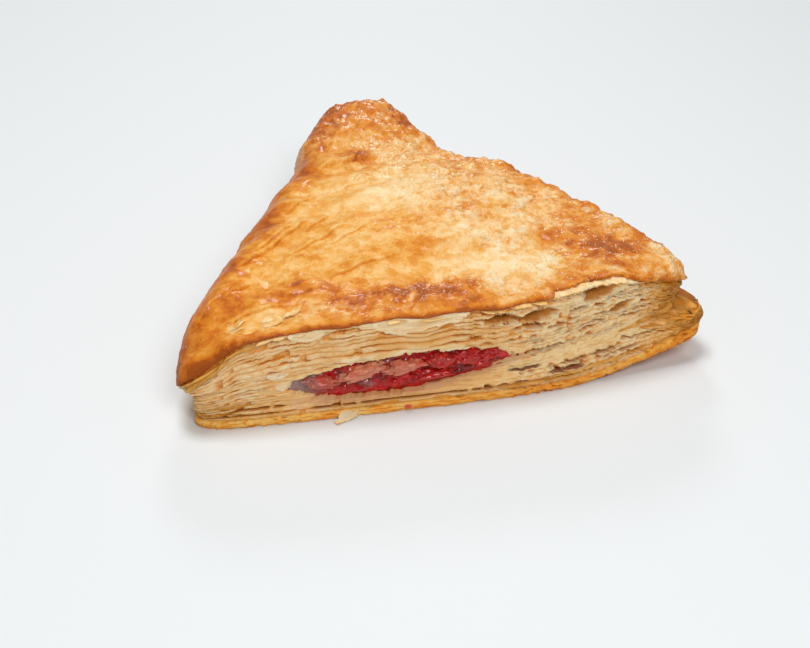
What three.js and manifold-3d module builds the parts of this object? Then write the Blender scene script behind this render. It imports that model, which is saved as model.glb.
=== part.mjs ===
// A fruit turnover of puff pastry, whose long front side lies open and shows its layers and its filling.
//
// Millimetres, +Z up. +X runs along the open front, from its left corner to its right one, and +Y points to the
// apex. The origin is under the middle of the turnover, on the surface that it rests on.
//
// Two pieces:
//   pastry   one folded and baked body: a bowed triangle with a domed top, a skirt of crust on the left, where
//            it is folded, a puffed rim at the back, where the lower sheet stands out as a lip, and a flaky front
//   filling  the fruit filling, which lies in a pocket of the pastry and shows in the front

import * as THREE from "three";
import { mergeVertices } from "three/addons/utils/BufferGeometryUtils.js";
import Module from "manifold-3d";

const wasm = await Module();
wasm.setup();

// ---- Driving dimensions -------------------------------------------------------------------------------------

// The middle of the plan, round which the outline runs. Sizes named x and y below are from here.
const PLAN_CENTRE = { x: -1.46, y: -24.25 };

// The outline in plan is a triangle with a few more sides that shape its corners. Each side is a line that faces
// "facing" degrees round from +X, "reach" mm from the plan centre, and
//   shoulder  how far in from the outline the top starts to roll over
//   drop      how far the top falls over that shoulder
//   tuck      how far the flaky side stands back under the crust
//   seam      how high the lower sheet meets the upper one
//   lip       how far the lower sheet stands out past the outline
const SIDES = {
  front: { facing: -90, reach: 45.3, shoulder: 3.5, drop: 1.2, tuck: 1.1, seam: 3.2, lip: 0.5 },
  frontRight: { facing: -77, reach: 51.5, shoulder: 4.5, drop: 2, tuck: 1, seam: 11, lip: 0.6 },
  rightTip: { facing: -15, reach: 79.5, shoulder: 6, drop: 4, tuck: 3, seam: 6.5, lip: 10.4 },
  back: { facing: 30, reach: 52.2, shoulder: 8, drop: 9, tuck: 3.4, seam: 8.5, lip: 4 },
  apex: { facing: 92, reach: 92.5, shoulder: 8, drop: 9, tuck: 4.5, seam: 14, lip: 1.5 },
  left: { facing: 153.4, reach: 55.4, shoulder: 14, drop: 16, tuck: 4.6, seam: 9, lip: -4.6 },
  leftCorner: { facing: 186, reach: 81.5, shoulder: 13, drop: 15, tuck: 5.4, seam: 8, lip: -6.4 },
};
// The lip at its foot, as a share of what it is at the seam, where it stands out and where it stands in.
const LIP_FOOT = { out: 0.72, in: 1.3 };
const CORNER_POWER = 24; // the higher, the sharper the corners of the outline
const BLEND_POWER = 10; // the higher, the sooner one side's form gives way to the next one's
// The waist beside the apex and the bulge of its fold, in degrees and mm.
const DENTS = [
  { facing: 69, width: 10, depth: 3.2 },
  { facing: 108, width: 6, depth: -1.4 },
];

// The top: a base height, and swellings {x, y, reach, rise}.
const BASE_HEIGHT = 30.2;
const SWELLINGS = [
  { x: 2, y: 10, reach: 42, rise: 6.5 },
  { x: 36, y: 16, reach: 26, rise: 2.6 },
  { x: 46, y: -42, reach: 19, rise: 3 },
  { x: 84, y: -30, reach: 16, rise: -1.5 },
  { x: -74, y: -42, reach: 14, rise: -5 },
  { x: 60, y: -8, reach: 18, rise: 2.6 },
  { x: -2, y: 84, reach: 20, rise: 6 },
  { x: 24, y: 56, reach: 12, rise: -2 },
];
const CRUST_WAVES = { height: 0.7, length: 27 };

// The base curls up towards the right tip, along +X.
const TIP_CURL = { start: 34, end: 88, height: 8.5 };

// The layers that show in the sides: how deep the grooves between them are, how far their edges wander in and
// out, how far they sag and rise, and how many rings make one layer.
const LAYERS = { groove: 1.2, wander: 0.6, sag: 0.5, rings: 2 };

// How fast these change, in turns of the wave for each mm along the side and for each ring.
const GROOVE_WAVE = { along: 0.11, ring: 0.9 };
const WANDER_WAVE = { along: 0.16, ring: 1.7, shift: 1.9 };
const SAG_WAVE = { along: 0.08, ring: 0.55 };

// The shares of the side's height between which the layers are at their full depth.
const LAYERED = { low: 0.1, high: 0.93 };

// Pockets of air in the front, with z from the base.
const AIR_POCKETS = [
  { x: 45, z: 28.2, width: 7, height: 2.4, depth: 4 },
  { x: 54, z: 21, width: 4, height: 2, depth: 3 },
  { x: 22, z: 25.4, width: 12, height: 1.8, depth: 3.2 },
  { x: -28, z: 23.6, width: 10, height: 1.7, depth: 2.6 },
  { x: -56, z: 20, width: 7, height: 1.8, depth: 2.4 },
  { x: -60, z: 4.6, width: 9, height: 1.3, depth: 2.6 },
];

// The filling: a lens across the front whose crown leans to the right, and which narrows towards the back.
const FILLING = { left: -47, right: 17, low: 5.8, high: 17.8, middle: 12.4, lean: 8, depth: 70, setBack: 0.6 };
const FILLING_EDGE = 1.3; // the higher, the thinner its left and right ends
const FILLING_TAPER = 2.4; // the higher, the later it narrows towards the back
const FILLING_WAVES = { height: 0.07, round: 2.5, along: 5 };
const POCKET_GAP = 0.35;

// How finely the pastry is divided: stations round the outline, closer along the front, and rings.
const STATIONS = 160;
const FRONT_CLOSENESS = 1.9;
const TOP_RINGS = 9;
const SHOULDER_RINGS = 4;
const SIDE_RINGS = 18;
const BASE_RINGS = 3;

// ---- Form ---------------------------------------------------------------------------------------------------

const radians = (degrees) => (degrees * Math.PI) / 180;
const mix = (a, b, t) => a + (b - a) * t;
const smooth = (low, high, value) => THREE.MathUtils.smoothstep(value, low, high);
const fade = (low, high, value) => 1 - smooth(low, high, value);
const swell = (distance, reach) => Math.exp(-((distance / reach) ** 2));

// Each side's share at an angle round the plan centre.
function shares(angle, power) {
  const raw = Object.values(SIDES).map((side) => {
    const towards = Math.max(0, Math.cos(angle - radians(side.facing))) / side.reach;
    return Math.pow(towards, power);
  });
  const sum = raw.reduce((total, value) => total + value, 0);
  return { sum, each: raw.map((value) => value / sum) };
}

// The angle between two directions, in degrees.
function turnBetween(angle, facing) {
  const turn = ((angle * 180) / Math.PI - facing) % 360;
  return Math.min(Math.abs(turn), 360 - Math.abs(turn));
}

// The sizes of the sides, such as their lip, blended at an angle.
function sideSizes(angle) {
  const sizes = { shoulder: 0, drop: 0, tuck: 0, seam: 0, lip: 0 };
  const { each } = shares(angle, BLEND_POWER);
  Object.values(SIDES).forEach((side, i) => {
    for (const name of Object.keys(sizes)) sizes[name] += each[i] * side[name];
  });
  return sizes;
}

function outlineRadius(angle) {
  const rounded = Math.pow(shares(angle, CORNER_POWER).sum, -1 / CORNER_POWER);
  return DENTS.reduce((radius, d) => radius - d.depth * swell(turnBetween(angle, d.facing), d.width), rounded);
}

// A slow, uneven wave between about -1 and 1.
function waver(a, b) {
  const first = Math.sin(a * 1.3 + 0.7 * Math.sin(b * 1.1 + 0.5));
  const second = Math.sin(b * 1.7 - 0.9 * Math.sin(a * 0.8 + 2.1));
  const third = Math.sin((a + b) * 2.3 + 1.9);
  return (first + second + 0.6 * third) / 2.6;
}

function topHeight(x, y) {
  const turns = (2 * Math.PI) / CRUST_WAVES.length;
  return SWELLINGS.reduce(
    (total, s) => total + s.rise * swell(Math.hypot(x - s.x, y - s.y), s.reach),
    BASE_HEIGHT + CRUST_WAVES.height * waver(x * turns, y * turns),
  );
}

const baseHeight = (x) => TIP_CURL.height * smooth(TIP_CURL.start, TIP_CURL.end, x);

// How far the side stands out from the outline at a share of its height, where the seam is at the share "seam".
function sideForm(sizes, height, seam) {
  const upper = -sizes.tuck * fade(seam, 1, height);
  const foot = sizes.lip > 0 ? LIP_FOOT.out : LIP_FOOT.in;
  const lower = sizes.lip * mix(foot, 1, smooth(0, 0.6 * seam, height));
  return mix(lower, upper, smooth(seam - 0.05, seam + 0.06, height));
}

// The relief of the layers there: grooves that wander, and pockets of air in the front.
function layerRelief(x, z, along, ring, height) {
  const groove = ring % LAYERS.rings ? -1 : 0.2;
  const strength = Math.max(0.15, 0.9 + 1.2 * waver(along * GROOVE_WAVE.along, ring * GROOVE_WAVE.ring));
  const wander = waver(along * WANDER_WAVE.along + ring * WANDER_WAVE.shift, ring * WANDER_WAVE.ring);
  const pockets = AIR_POCKETS.reduce(
    (total, p) => total - p.depth * swell(Math.hypot((x - p.x) / p.width, (z - p.z) / p.height), 1),
    0,
  );
  const relief = LAYERS.groove * groove * strength + LAYERS.wander * wander + pockets;
  return relief * smooth(0, LAYERED.low, height) * fade(LAYERED.high, 1, height);
}

// ---- Pastry -------------------------------------------------------------------------------------------------

// Angles of the stations, evenly spaced along the outline, but closer along the front.
function stationAngles(count) {
  const fine = 3600;
  const lengths = [0];
  for (let i = 0; i < fine; i++) {
    const angle = (i / fine) * 2 * Math.PI;
    const closeness = mix(1, FRONT_CLOSENESS, fade(50, 70, turnBetween(angle, SIDES.front.facing)));
    const next = angle + (2 * Math.PI) / fine;
    const step = Math.hypot(
      outlineRadius(next) * Math.cos(next) - outlineRadius(angle) * Math.cos(angle),
      outlineRadius(next) * Math.sin(next) - outlineRadius(angle) * Math.sin(angle),
    );
    lengths.push(lengths[i] + step * closeness);
  }
  const angles = [];
  for (let i = 0; angles.length < count; i++) {
    if (lengths[i] >= (lengths[fine] * angles.length) / count) angles.push((i / fine) * 2 * Math.PI);
  }
  return angles;
}

// The point of the pastry's skin at a station's angle and a ring. Rings run from the middle of the top, over the
// shoulder, down the side and in to the middle of the base.
function pastryPoint(angle, ring) {
  const radius = outlineRadius(angle);
  const sizes = sideSizes(angle);
  const squareness = Math.max(...Object.values(SIDES).map((side) => Math.cos(angle - radians(side.facing))));
  const inner = 1 - sizes.shoulder / (radius * squareness);
  const at = (distance) => [Math.cos(angle) * distance, Math.sin(angle) * distance];
  const onTop = (share, roll) => {
    const [x, y] = at(radius * share);
    return [x, y, topHeight(x, y) - sizes.drop * (1 - Math.cos(roll))];
  };

  if (ring <= TOP_RINGS) return onTop((inner * ring) / TOP_RINGS, 0);
  if (ring <= TOP_RINGS + SHOULDER_RINGS) {
    const roll = (Math.PI / 2) * ((ring - TOP_RINGS) / SHOULDER_RINGS);
    return onTop(mix(inner, 1, Math.sin(roll)), roll);
  }

  const [rimX, , rimZ] = onTop(1, Math.PI / 2);
  const low = baseHeight(rimX);
  const seam = sizes.seam / (rimZ - low);
  const step = ring - TOP_RINGS - SHOULDER_RINGS;
  if (step <= SIDE_RINGS) {
    const height = 1 - step / SIDE_RINGS;
    const sag = waver(radius * angle * SAG_WAVE.along, step * SAG_WAVE.ring) * Math.sin(Math.PI * height);
    const z = mix(low, rimZ, height) + LAYERS.sag * sag;
    const relief = layerRelief(Math.sin(angle) < 0 ? rimX : 1e3, z, radius * angle, step, height);
    return [...at(radius + sideForm(sizes, height, seam) + relief), z];
  }
  const share = 1 - (step - SIDE_RINGS) / (BASE_RINGS + 1);
  const [x, y] = at((radius + sideForm(sizes, 0, seam)) * share);
  return [x, y, baseHeight(x)];
}

// A sphere's grid of vertices, each moved to place(column, row). The first and last row are its poles.
function moulded(columns, rows, place) {
  const sphere = new THREE.SphereGeometry(1, columns, rows);
  sphere.deleteAttribute("normal");
  sphere.deleteAttribute("uv");
  const position = sphere.getAttribute("position");
  for (let i = 0; i < position.count; i++) {
    const column = i % (columns + 1);
    position.setXYZ(i, ...place(column % columns, Math.floor(i / (columns + 1))));
  }
  return mergeVertices(sphere, 1e-4);
}

function pastryBody() {
  const angles = stationAngles(STATIONS);
  const rows = TOP_RINGS + SHOULDER_RINGS + SIDE_RINGS + BASE_RINGS + 1;
  return moulded(STATIONS, rows, (station, ring) => {
    const [x, y, z] = pastryPoint(angles[station], ring);
    return [PLAN_CENTRE.x + x, PLAN_CENTRE.y + y, z];
  });
}

// ---- Filling ------------------------------------------------------------------------------------------------

const FILLING_COLUMNS = 32;
const FILLING_ROWS = 13;

// The filling, grown by "gap" all round, with its face moved "ahead" mm forwards.
function fillingBody(gap, ahead) {
  const halfWidth = (FILLING.right - FILLING.left) / 2;
  const middleX = (FILLING.right + FILLING.left) / 2;
  const faceY = FILLING.setBack - SIDES.front.reach;
  return moulded(FILLING_COLUMNS, FILLING_ROWS, (column, row) => {
    const turn = (column / FILLING_COLUMNS) * 2 * Math.PI;
    const across = Math.cos(turn);
    const up = Math.sin(turn);
    const depth = Math.max(0, row - 1) / (FILLING_ROWS - 1);
    const pole = row === 0 || row === FILLING_ROWS;
    const wave = FILLING_WAVES.height * waver(turn * FILLING_WAVES.round, depth * FILLING_WAVES.along);
    const spread = pole ? 0 : Math.sqrt(1 - depth ** FILLING_TAPER) * (1 + wave);
    const thickness = up > 0 ? FILLING.high - FILLING.middle : FILLING.middle - FILLING.low;
    const x = middleX + spread * (halfWidth * across + FILLING.lean * up);
    const z = FILLING.middle + spread * thickness * Math.sign(up) * Math.abs(up) ** FILLING_EDGE;
    const y = faceY - (row <= 1 ? ahead : 0) + depth * (FILLING.depth + gap);
    const grow = pole ? 0 : gap;
    return [PLAN_CENTRE.x + x + grow * across, PLAN_CENTRE.y + y, z + grow * up];
  });
}

// ---- Joining and cutting ------------------------------------------------------------------------------------

function solidOf(geometry) {
  return new wasm.Manifold(
    new wasm.Mesh({
      numProp: 3,
      vertProperties: geometry.getAttribute("position").array,
      triVerts: new Uint32Array(geometry.index.array),
    }),
  );
}

function geometryOf(solid) {
  const mesh = solid.getMesh();
  const geometry = new THREE.BufferGeometry();
  geometry.setAttribute("position", new THREE.BufferAttribute(mesh.vertProperties, 3));
  geometry.setIndex(new THREE.BufferAttribute(mesh.triVerts, 1));
  return geometry;
}

// ---- The turnover -------------------------------------------------------------------------------------------

function piece(name, geometry, color, roughness) {
  const mesh = new THREE.Mesh(geometry, new THREE.MeshStandardMaterial({ color, roughness, metalness: 0 }));
  mesh.name = name;
  return mesh;
}

const POCKET_REACH = 12; // how far the pocket's cutter stands out of the front
const pocket = solidOf(fillingBody(POCKET_GAP, POCKET_REACH));
const pastry = geometryOf(solidOf(pastryBody()).subtract(pocket));

const turnover = new THREE.Group();
turnover.add(piece("pastry", pastry, 0xdba558, 0.55));
turnover.add(piece("filling", fillingBody(0, 0), 0x8c1410, 0.25));

export default turnover;
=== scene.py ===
"""Dresses a fruit turnover of puff pastry: its glazed and sugared crust, its flaky front and its filling.

Sizes in the form functions are in millimetres from the middle of the plan, as in the part's own source,
and are made metres where a mesh is written.
"""

import itertools
import math

import bmesh
import bpy
import numpy as np
from mathutils import Matrix, Vector


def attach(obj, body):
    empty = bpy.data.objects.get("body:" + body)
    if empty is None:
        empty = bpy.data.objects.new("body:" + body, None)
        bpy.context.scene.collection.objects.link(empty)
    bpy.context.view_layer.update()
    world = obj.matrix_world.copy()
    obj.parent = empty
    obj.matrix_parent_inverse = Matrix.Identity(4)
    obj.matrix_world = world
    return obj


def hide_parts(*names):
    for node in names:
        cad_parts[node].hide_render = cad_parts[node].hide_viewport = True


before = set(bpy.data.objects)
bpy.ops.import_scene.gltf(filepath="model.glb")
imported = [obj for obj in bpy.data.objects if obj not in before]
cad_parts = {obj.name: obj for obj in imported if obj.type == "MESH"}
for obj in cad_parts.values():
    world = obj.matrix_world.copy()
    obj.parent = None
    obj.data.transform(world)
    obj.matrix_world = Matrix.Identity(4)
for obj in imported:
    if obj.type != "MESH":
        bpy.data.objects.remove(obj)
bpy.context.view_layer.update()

bl_info = {
    "name": "Fruit turnover",
    "version": (1, 0, 0),
    "blender": (4, 5, 0),
    "location": "3D View > Sidebar > Turnover",
    "description": "Builds the crust, layers, filling and sugar of a puff pastry turnover",
    "category": "Mesh",
}

# ---- Form: the same sizes as the solids ----------------------------------------------------------

PLAN_CENTRE = (-1.46, -24.25)
SIDE_SIZES = ("facing", "reach", "shoulder", "drop", "tuck", "seam", "lip")
SIDES = {
    "front": (-90, 45.3, 3.5, 1.2, 1.1, 3.2, 0.5),
    "front_right": (-77, 51.5, 4.5, 2.0, 1.0, 11.0, 0.6),
    "right_tip": (-15, 79.5, 6.0, 4.0, 3.0, 6.5, 10.4),
    "back": (30, 52.2, 8.0, 9.0, 3.4, 8.5, 4.0),
    "apex": (92, 92.5, 8.0, 9.0, 4.5, 14.0, 1.5),
    "left": (153.4, 55.4, 14.0, 16.0, 4.6, 9.0, -4.6),
    "left_corner": (186, 81.5, 13.0, 15.0, 5.4, 8.0, -6.4),
}
CORNER_POWER = 24
BLEND_POWER = 10
DENTS = ((69, 10, 3.2), (108, 6, -1.4))  # facing, width and depth: the waist by the apex, and its fold
LIP_FOOT = {"out": 0.72, "in": 1.3}
BASE_HEIGHT = 30.2
SWELLINGS = (  # x, y, reach, rise
    (2, 10, 42, 6.5),
    (36, 16, 26, 2.6),
    (46, -42, 19, 3),
    (84, -30, 16, -1.5),
    (-74, -42, 14, -5),
    (60, -8, 18, 2.6),
    (-2, 84, 20, 6),
    (24, 56, 12, -2),
)
CRUST_WAVES = {"height": 0.7, "length": 27}
TIP_CURL = {"start": 34, "end": 88, "height": 8.5}
FILLING = {
    "left": -47,
    "right": 17,
    "low": 5.8,
    "high": 17.8,
    "middle": 12.4,
    "lean": 8,
    "depth": 70,
    "set_back": 0.6,
}

FILLING_HALF = (FILLING["right"] - FILLING["left"]) / 2
FILLING_MIDDLE_X = (FILLING["right"] + FILLING["left"]) / 2
FILLING_FACE = FILLING["set_back"] - SIDES["front"][1]
FILLING_POINTED = 1.3  # above 1, its outline has pointed ends

MM = 0.001
TAU = 2 * math.pi


def mix(a, b, t):
    """From a, at a share t of 0, to b, at 1."""
    return a + (b - a) * t


def smooth(low, high, value):
    """A soft step from 0 at low to 1 at high; low may lie above high."""
    t = np.clip((value - low) / (high - low), 0, 1)
    return t * t * (3 - 2 * t)


def swell(distance, reach):
    """A soft bump of height 1 that fades out within about twice its reach."""
    return np.exp(-((distance / reach) ** 2))


def side_values(name):
    """One size of every side, in the order of SIDES."""
    column = SIDE_SIZES.index(name)
    return np.array([side[column] for side in SIDES.values()], float)


def shares(angle, power):
    """The sum of the sides' pulls at each angle, and each side's share of it."""
    facing = np.radians(side_values("facing"))[:, None]
    reach = side_values("reach")[:, None]
    pulls = (np.maximum(0, np.cos(angle[None] - facing)) / reach) ** power
    total = pulls.sum(0)
    return total, pulls / total


def turn_between(angle, facing):
    """How many degrees lie between an angle in radians and a facing in degrees."""
    turn = (np.degrees(angle) - facing) % 360
    return np.minimum(turn, 360 - turn)


def outline_radius(angle):
    """How far the outline of the plan is from its middle."""
    total, _ = shares(angle, CORNER_POWER)
    radius = total ** (-1 / CORNER_POWER)
    for facing, width, depth in DENTS:
        radius = radius - depth * swell(turn_between(angle, facing), width)
    return radius


def side_sizes(angle):
    """The sides' sizes, blended from each side to the next."""
    _, each = shares(angle, BLEND_POWER)
    return {name: side_values(name) @ each for name in SIDE_SIZES[2:]}


def waver(a, b):
    """Slow waves between about -1 and 1."""
    first = np.sin(a * 1.3 + 0.7 * np.sin(b * 1.1 + 0.5))
    second = np.sin(b * 1.7 - 0.9 * np.sin(a * 0.8 + 2.1))
    third = np.sin((a + b) * 2.3 + 1.9)
    return (first + second + 0.6 * third) / 2.6


def top_height(x, y):
    turns = TAU / CRUST_WAVES["length"]
    height = BASE_HEIGHT + CRUST_WAVES["height"] * waver(x * turns, y * turns)
    for at_x, at_y, reach, rise in SWELLINGS:
        height = height + rise * swell(np.hypot(x - at_x, y - at_y), reach)
    return height


def base_height(x):
    return TIP_CURL["height"] * smooth(TIP_CURL["start"], TIP_CURL["end"], x)


def lip_foot(sizes):
    """How far out the lip is at its foot, as a share of how far out it is at the seam."""
    return np.where(sizes["lip"] > 0, LIP_FOOT["out"], LIP_FOOT["in"])


def side_form(sizes, height, seam):
    """How far a side stands out from the outline at a share of its height; the seam is where the lip ends."""
    upper = -sizes["tuck"] * (1 - smooth(seam, 1, height))
    lower = sizes["lip"] * mix(lip_foot(sizes), 1, smooth(0, 0.6 * seam, height))
    return mix(lower, upper, smooth(seam - 0.05, seam + 0.06, height))


# ---- Noise ---------------------------------------------------------------------------------------

SEEDS = {"noise": 11, "layers": 5, "flakes": 21, "sugar": 33}
SLOPES = np.random.default_rng(SEEDS["noise"]).normal(size=(3, 256))
SLOPES /= np.linalg.norm(SLOPES, axis=0)
AXIS_PRIMES = (374761393, 668265263, 1440662683)  # these and the next three only scramble whole numbers
SEED_STEP = 974634777
SEED_START = 12345
SCRAMBLE = 1274126177
NOISE_GAIN = 1.6  # brings noise to between about -1 and 1
OCTAVE_STEP = 2.03  # how much finer each octave is
FRACTAL_GAIN = 1.35


def noise(*place, seed=0):
    """Smooth noise between about -1 and 1, in as many directions as place has."""
    place = [np.asarray(values, float) for values in np.broadcast_arrays(*place)]
    cells = [np.floor(values) for values in place]
    parts = [values - cell for values, cell in zip(place, cells)]
    eased = [part**3 * (part * (part * 6 - 15) + 10) for part in parts]
    hashes = [cell.astype(np.int64) * prime for cell, prime in zip(cells, AXIS_PRIMES)]
    total = 0.0
    for corner in itertools.product((0, 1), repeat=len(place)):
        key = seed * SEED_STEP + SEED_START
        for step, own, prime in zip(corner, hashes, AXIS_PRIMES):
            key = key + own + step * prime
        key = (key ^ (key >> 13)) * SCRAMBLE
        pick = (key ^ (key >> 16)) & 255
        weight, slope = 1.0, 0.0
        for axis, step in enumerate(corner):
            weight = weight * (eased[axis] if step else 1 - eased[axis])
            slope = slope + (parts[axis] - step) * SLOPES[axis][pick]
        total = total + weight * slope
    return total * NOISE_GAIN


def fractal(*place, octaves=3, seed=0):
    """Noise with finer noise on it, between about -1 and 1."""
    total, size = 0.0, 0.0
    for octave in range(octaves):
        grow = OCTAVE_STEP**octave
        total = total + noise(*[np.asarray(v) * grow for v in place], seed=seed + octave) / 2**octave
        size += 1 / 2**octave
    return total / size * FRACTAL_GAIN


# ---- Meshes --------------------------------------------------------------------------------------

GRIDS = {  # the columns and rows of each piece's mesh, or of the mesh of one of its bits
    "crust": (640, 152),
    "flakes": (24, 10),
    "layers": (700, 140),
    "sheets": (10, 90),
    "base_crust": (720, 44),
    "sugar": (6, 4),
    "fruit_filling": (320, 130),
    "fruit_chunks": (48, 40),
    "fallen_flake": (40, 24),
    "jam_drop": (16, 12),
}
FRONT_CLOSENESS = {"crust": 1.25, "layers": 7, "base": 1.8}  # how much closer columns are along the front
OUTLINE_STEPS = 7200  # in which the outline is measured


def station_angles(count, closeness):
    """Angles that are evenly spaced along the outline, but closer along the front."""
    fine = np.linspace(0, TAU, OUTLINE_STEPS + 1)
    radius = outline_radius(fine)
    x, y = np.cos(fine) * radius, np.sin(fine) * radius
    step = np.hypot(np.diff(x), np.diff(y))
    step *= mix(1, closeness, 1 - smooth(50, 70, turn_between(fine[:-1], SIDES["front"][0])))
    length = np.concatenate([[0], np.cumsum(step)])
    return np.interp(np.arange(count) / count * length[-1], length, fine)


def link_piece(name, data):
    """An object of its own for some data, in place of an earlier one of that name."""
    if name in bpy.data.objects:
        bpy.data.objects.remove(bpy.data.objects[name])
    piece = bpy.data.objects.new(name, data)
    bpy.context.scene.collection.objects.link(piece)
    return piece


def new_object(name, bm):
    """An object with a bmesh as its mesh."""
    mesh = bpy.data.meshes.new(name)
    bm.to_mesh(mesh)
    bm.free()
    return link_piece(name, mesh)


def shape_mesh(piece, points, attributes):
    """Moves a piece's vertices to points, in mm from the plan's centre, and gives them attributes."""
    mesh = piece.data
    x, y, z = points
    place = np.stack([x + PLAN_CENTRE[0], y + PLAN_CENTRE[1], z], axis=1) * MM
    mesh.vertices.foreach_set("co", place.astype(np.float32).ravel())
    for name, values in attributes.items():
        layer = mesh.attributes.new(name, "FLOAT", "POINT")
        layer.data.foreach_set("value", np.broadcast_to(values, x.shape).astype(np.float32))
    mesh.polygons.foreach_set("use_smooth", np.full(len(mesh.polygons), True))
    mesh.update()


def ball_grid(columns, rows):
    """A closed mesh of columns and rows, and each vertex's column and row; the end rows are single points."""
    bm = bmesh.new()
    bmesh.ops.create_grid(bm, x_segments=columns, y_segments=rows, size=1)
    for vert in bm.verts:
        turn, fall = (vert.co.x + 1) * math.pi, (1 - vert.co.y) / 2 * math.pi
        across = math.sin(fall)
        vert.co = (across * math.cos(turn), across * math.sin(turn), math.cos(fall))
    bmesh.ops.remove_doubles(bm, verts=bm.verts, dist=1e-6)
    at = np.array([vert.co for vert in bm.verts])
    column = np.round((np.arctan2(at[:, 1], at[:, 0]) % TAU) / TAU * columns).astype(int) % columns
    row = np.round(np.arccos(np.clip(at[:, 2], -1, 1)) / math.pi * rows).astype(int)
    return bm, column, row


def ball_turns(column, row, columns, rows):
    """How far round a ball each vertex is, and how far down from its pole, in radians."""
    return column / columns * TAU, row / rows * math.pi


def moulded(name, make_form, *sizes):
    """A closed piece. make_form(columns, rows, *sizes) gives a form(column, row) that places its vertices.

    Column counts round from 0, and row runs from 0, at the first pole, to rows, at the last. A form gives
    the x, y and z of the vertices in mm, and their attributes.
    """
    form = make_form(*GRIDS[name], *sizes)
    bm, column, row = ball_grid(*GRIDS[name])
    piece = new_object(name, bm)
    shape_mesh(piece, *form(column, row))
    return piece


def scattered(name, count, make_form, *sizes):
    """One piece of count closed bits, like moulded, but the form is told the number of the bit as well."""
    form = make_form(*GRIDS[name], *sizes)
    bm, column, row = ball_grid(*GRIDS[name])
    faces = [[vert.index for vert in face.verts] for face in bm.faces]
    bm.free()
    corners = np.concatenate([np.array(face) for face in faces])
    sizes = np.array([len(face) for face in faces])
    points = len(column)
    number = np.repeat(np.arange(count), points)
    mesh = bpy.data.meshes.new(name)
    mesh.vertices.add(points * count)
    mesh.loops.add(len(corners) * count)
    mesh.polygons.add(len(faces) * count)
    mesh.loops.foreach_set("vertex_index", (corners[None] + points * np.arange(count)[:, None]).ravel())
    starts = np.concatenate([[0], np.cumsum(np.tile(sizes, count))[:-1]])
    mesh.polygons.foreach_set("loop_start", starts)
    piece = link_piece(name, mesh)
    shape = form(np.tile(column, count), np.tile(row, count), number)
    mesh.update(calc_edges=True)
    shape_mesh(piece, *shape)
    mesh.validate()
    return piece


# ---- Crust ---------------------------------------------------------------------------------------

TOP_SHARE = 0.78  # of the way from the middle of the top to the rim, before the top rolls over
CRUST_ROWS = {"outer": 0.87, "edge": 5}  # the share of its rows in the outer skin, and the rows in its edge
EDGE_BULGE = 0.25  # how far the middle of the crust's edge hangs down
BROWN_PATCHES = (  # x, y, how far it reaches along X and Y, and how much browner it is
    (-41, -27, 9, 5, 0.32),
    (-28, -35, 8, 6, 0.34),
    (-12, -35, 10, 6, 0.34),
    (0, -37, 9, 5.5, 0.36),
    (9, -42, 6, 4, 0.22),
    (-69, -41, 13, 11, 0.18),
    (-59, -29, 9, 7, 0.2),
    (-57, -10, 4, 9, 0.2),
    (-44, 14, 4, 12, 0.22),
    (-28, 46, 5, 10, 0.26),
    (-16, 72, 10, 11, 0.26),
    (-7, 84, 13, 10, 0.22),
    (8, 70, 9, 12, 0.26),
    (-10, 51, 7, 5, 0.3),
    (22, 40, 7, 12, 0.14),
    (36, 16, 7, 9, 0.16),
    (48, -4, 7, 8, 0.18),
    (42, -15, 8, 6, 0.24),
    (48, -23, 10, 7, 0.36),
    (58, -22, 9, 6, 0.22),
    (52, -33, 8, 5, 0.2),
    (66, -36, 10, 8, 0.06),
    (38, -37, 6, 4, 0.16),
    (0, -14, 5, 4, 0.12),
    (-6, -3, 7, 4, 0.12),
    (-16, -5, 6, 4, 0.1),
    (17, 2, 5, 4, 0.1),
    (-17, 17, 4, 2, 0.16),
)
PALE_PATCHES = (
    (11, -9, 9, 7, 0.16),
    (14, -25, 12, 7, 0.24),
    (-8, -25, 12, 4, 0.14),
    (0, 26, 9, 10, 0.18),
    (-22, 30, 9, 8, 0.1),
    (-34, 12, 8, 6, 0.1),
    (26, 3, 8, 8, 0.12),
    (30, -26, 8, 7, 0.18),
    (-47, -15, 8, 6, 0.12),
    (-53, -35, 8, 3, 0.3),
    (-9, 14, 14, 9, 0.3),
    (-20, -6, 12, 6, 0.16),
    (72, -30, 9, 8, 0.2),
    (-75, -43, 5, 5, 0.24),
)
CREASES = (  # facing, width and depth, in the rim by the apex
    (113.5, 2.0, 3.2),
    (109, 3.0, -1.6),
    (121, 6, 1.0),
    (66, 2.5, 1.2),
)
TORN_BACK = {"start": 28.5, "end": 60, "share": 0.17}  # along the front, and of the way to the rim
FLAKED_OFF = (-54, -38.5, 9, 4.5)  # x, y, and how far it reaches along X and Y
FLAKE_EDGES = (  # from x, y to x, y: edges of sheets of crust, whose far side lies higher; rise and reach
    (-56, -10, -31, 10, 0.75, 9),
    (-41, -8, -21, 3, 0.6, 8),
    (-59, -22, -52, -19, 0.6, 4),
    (-34, 3, -24, 12, 0.5, 5),
    (-6, 13, 8, 15, 0.5, 5),
    (-23, 45, -3, 50, 1.3, 9),
    (-12, 47, -7, 55, 0.5, 4),
    (-24, 24, -8, 31, 0.4, 6),
    (-62, -35, -46, -32, 0.6, 5),
    (-30, -21, -12, -17, 0.5, 5),
    (-50, -3, -36, 9, 0.5, 5),
    (-38, 17, -27, 26, 0.5, 5),
    (-30, -6, -15, 0, 0.4, 5),
    (-70, -31, -60, -21, 0.5, 4),
    (-45, -24, -34, -21, 0.5, 4),
)
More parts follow.
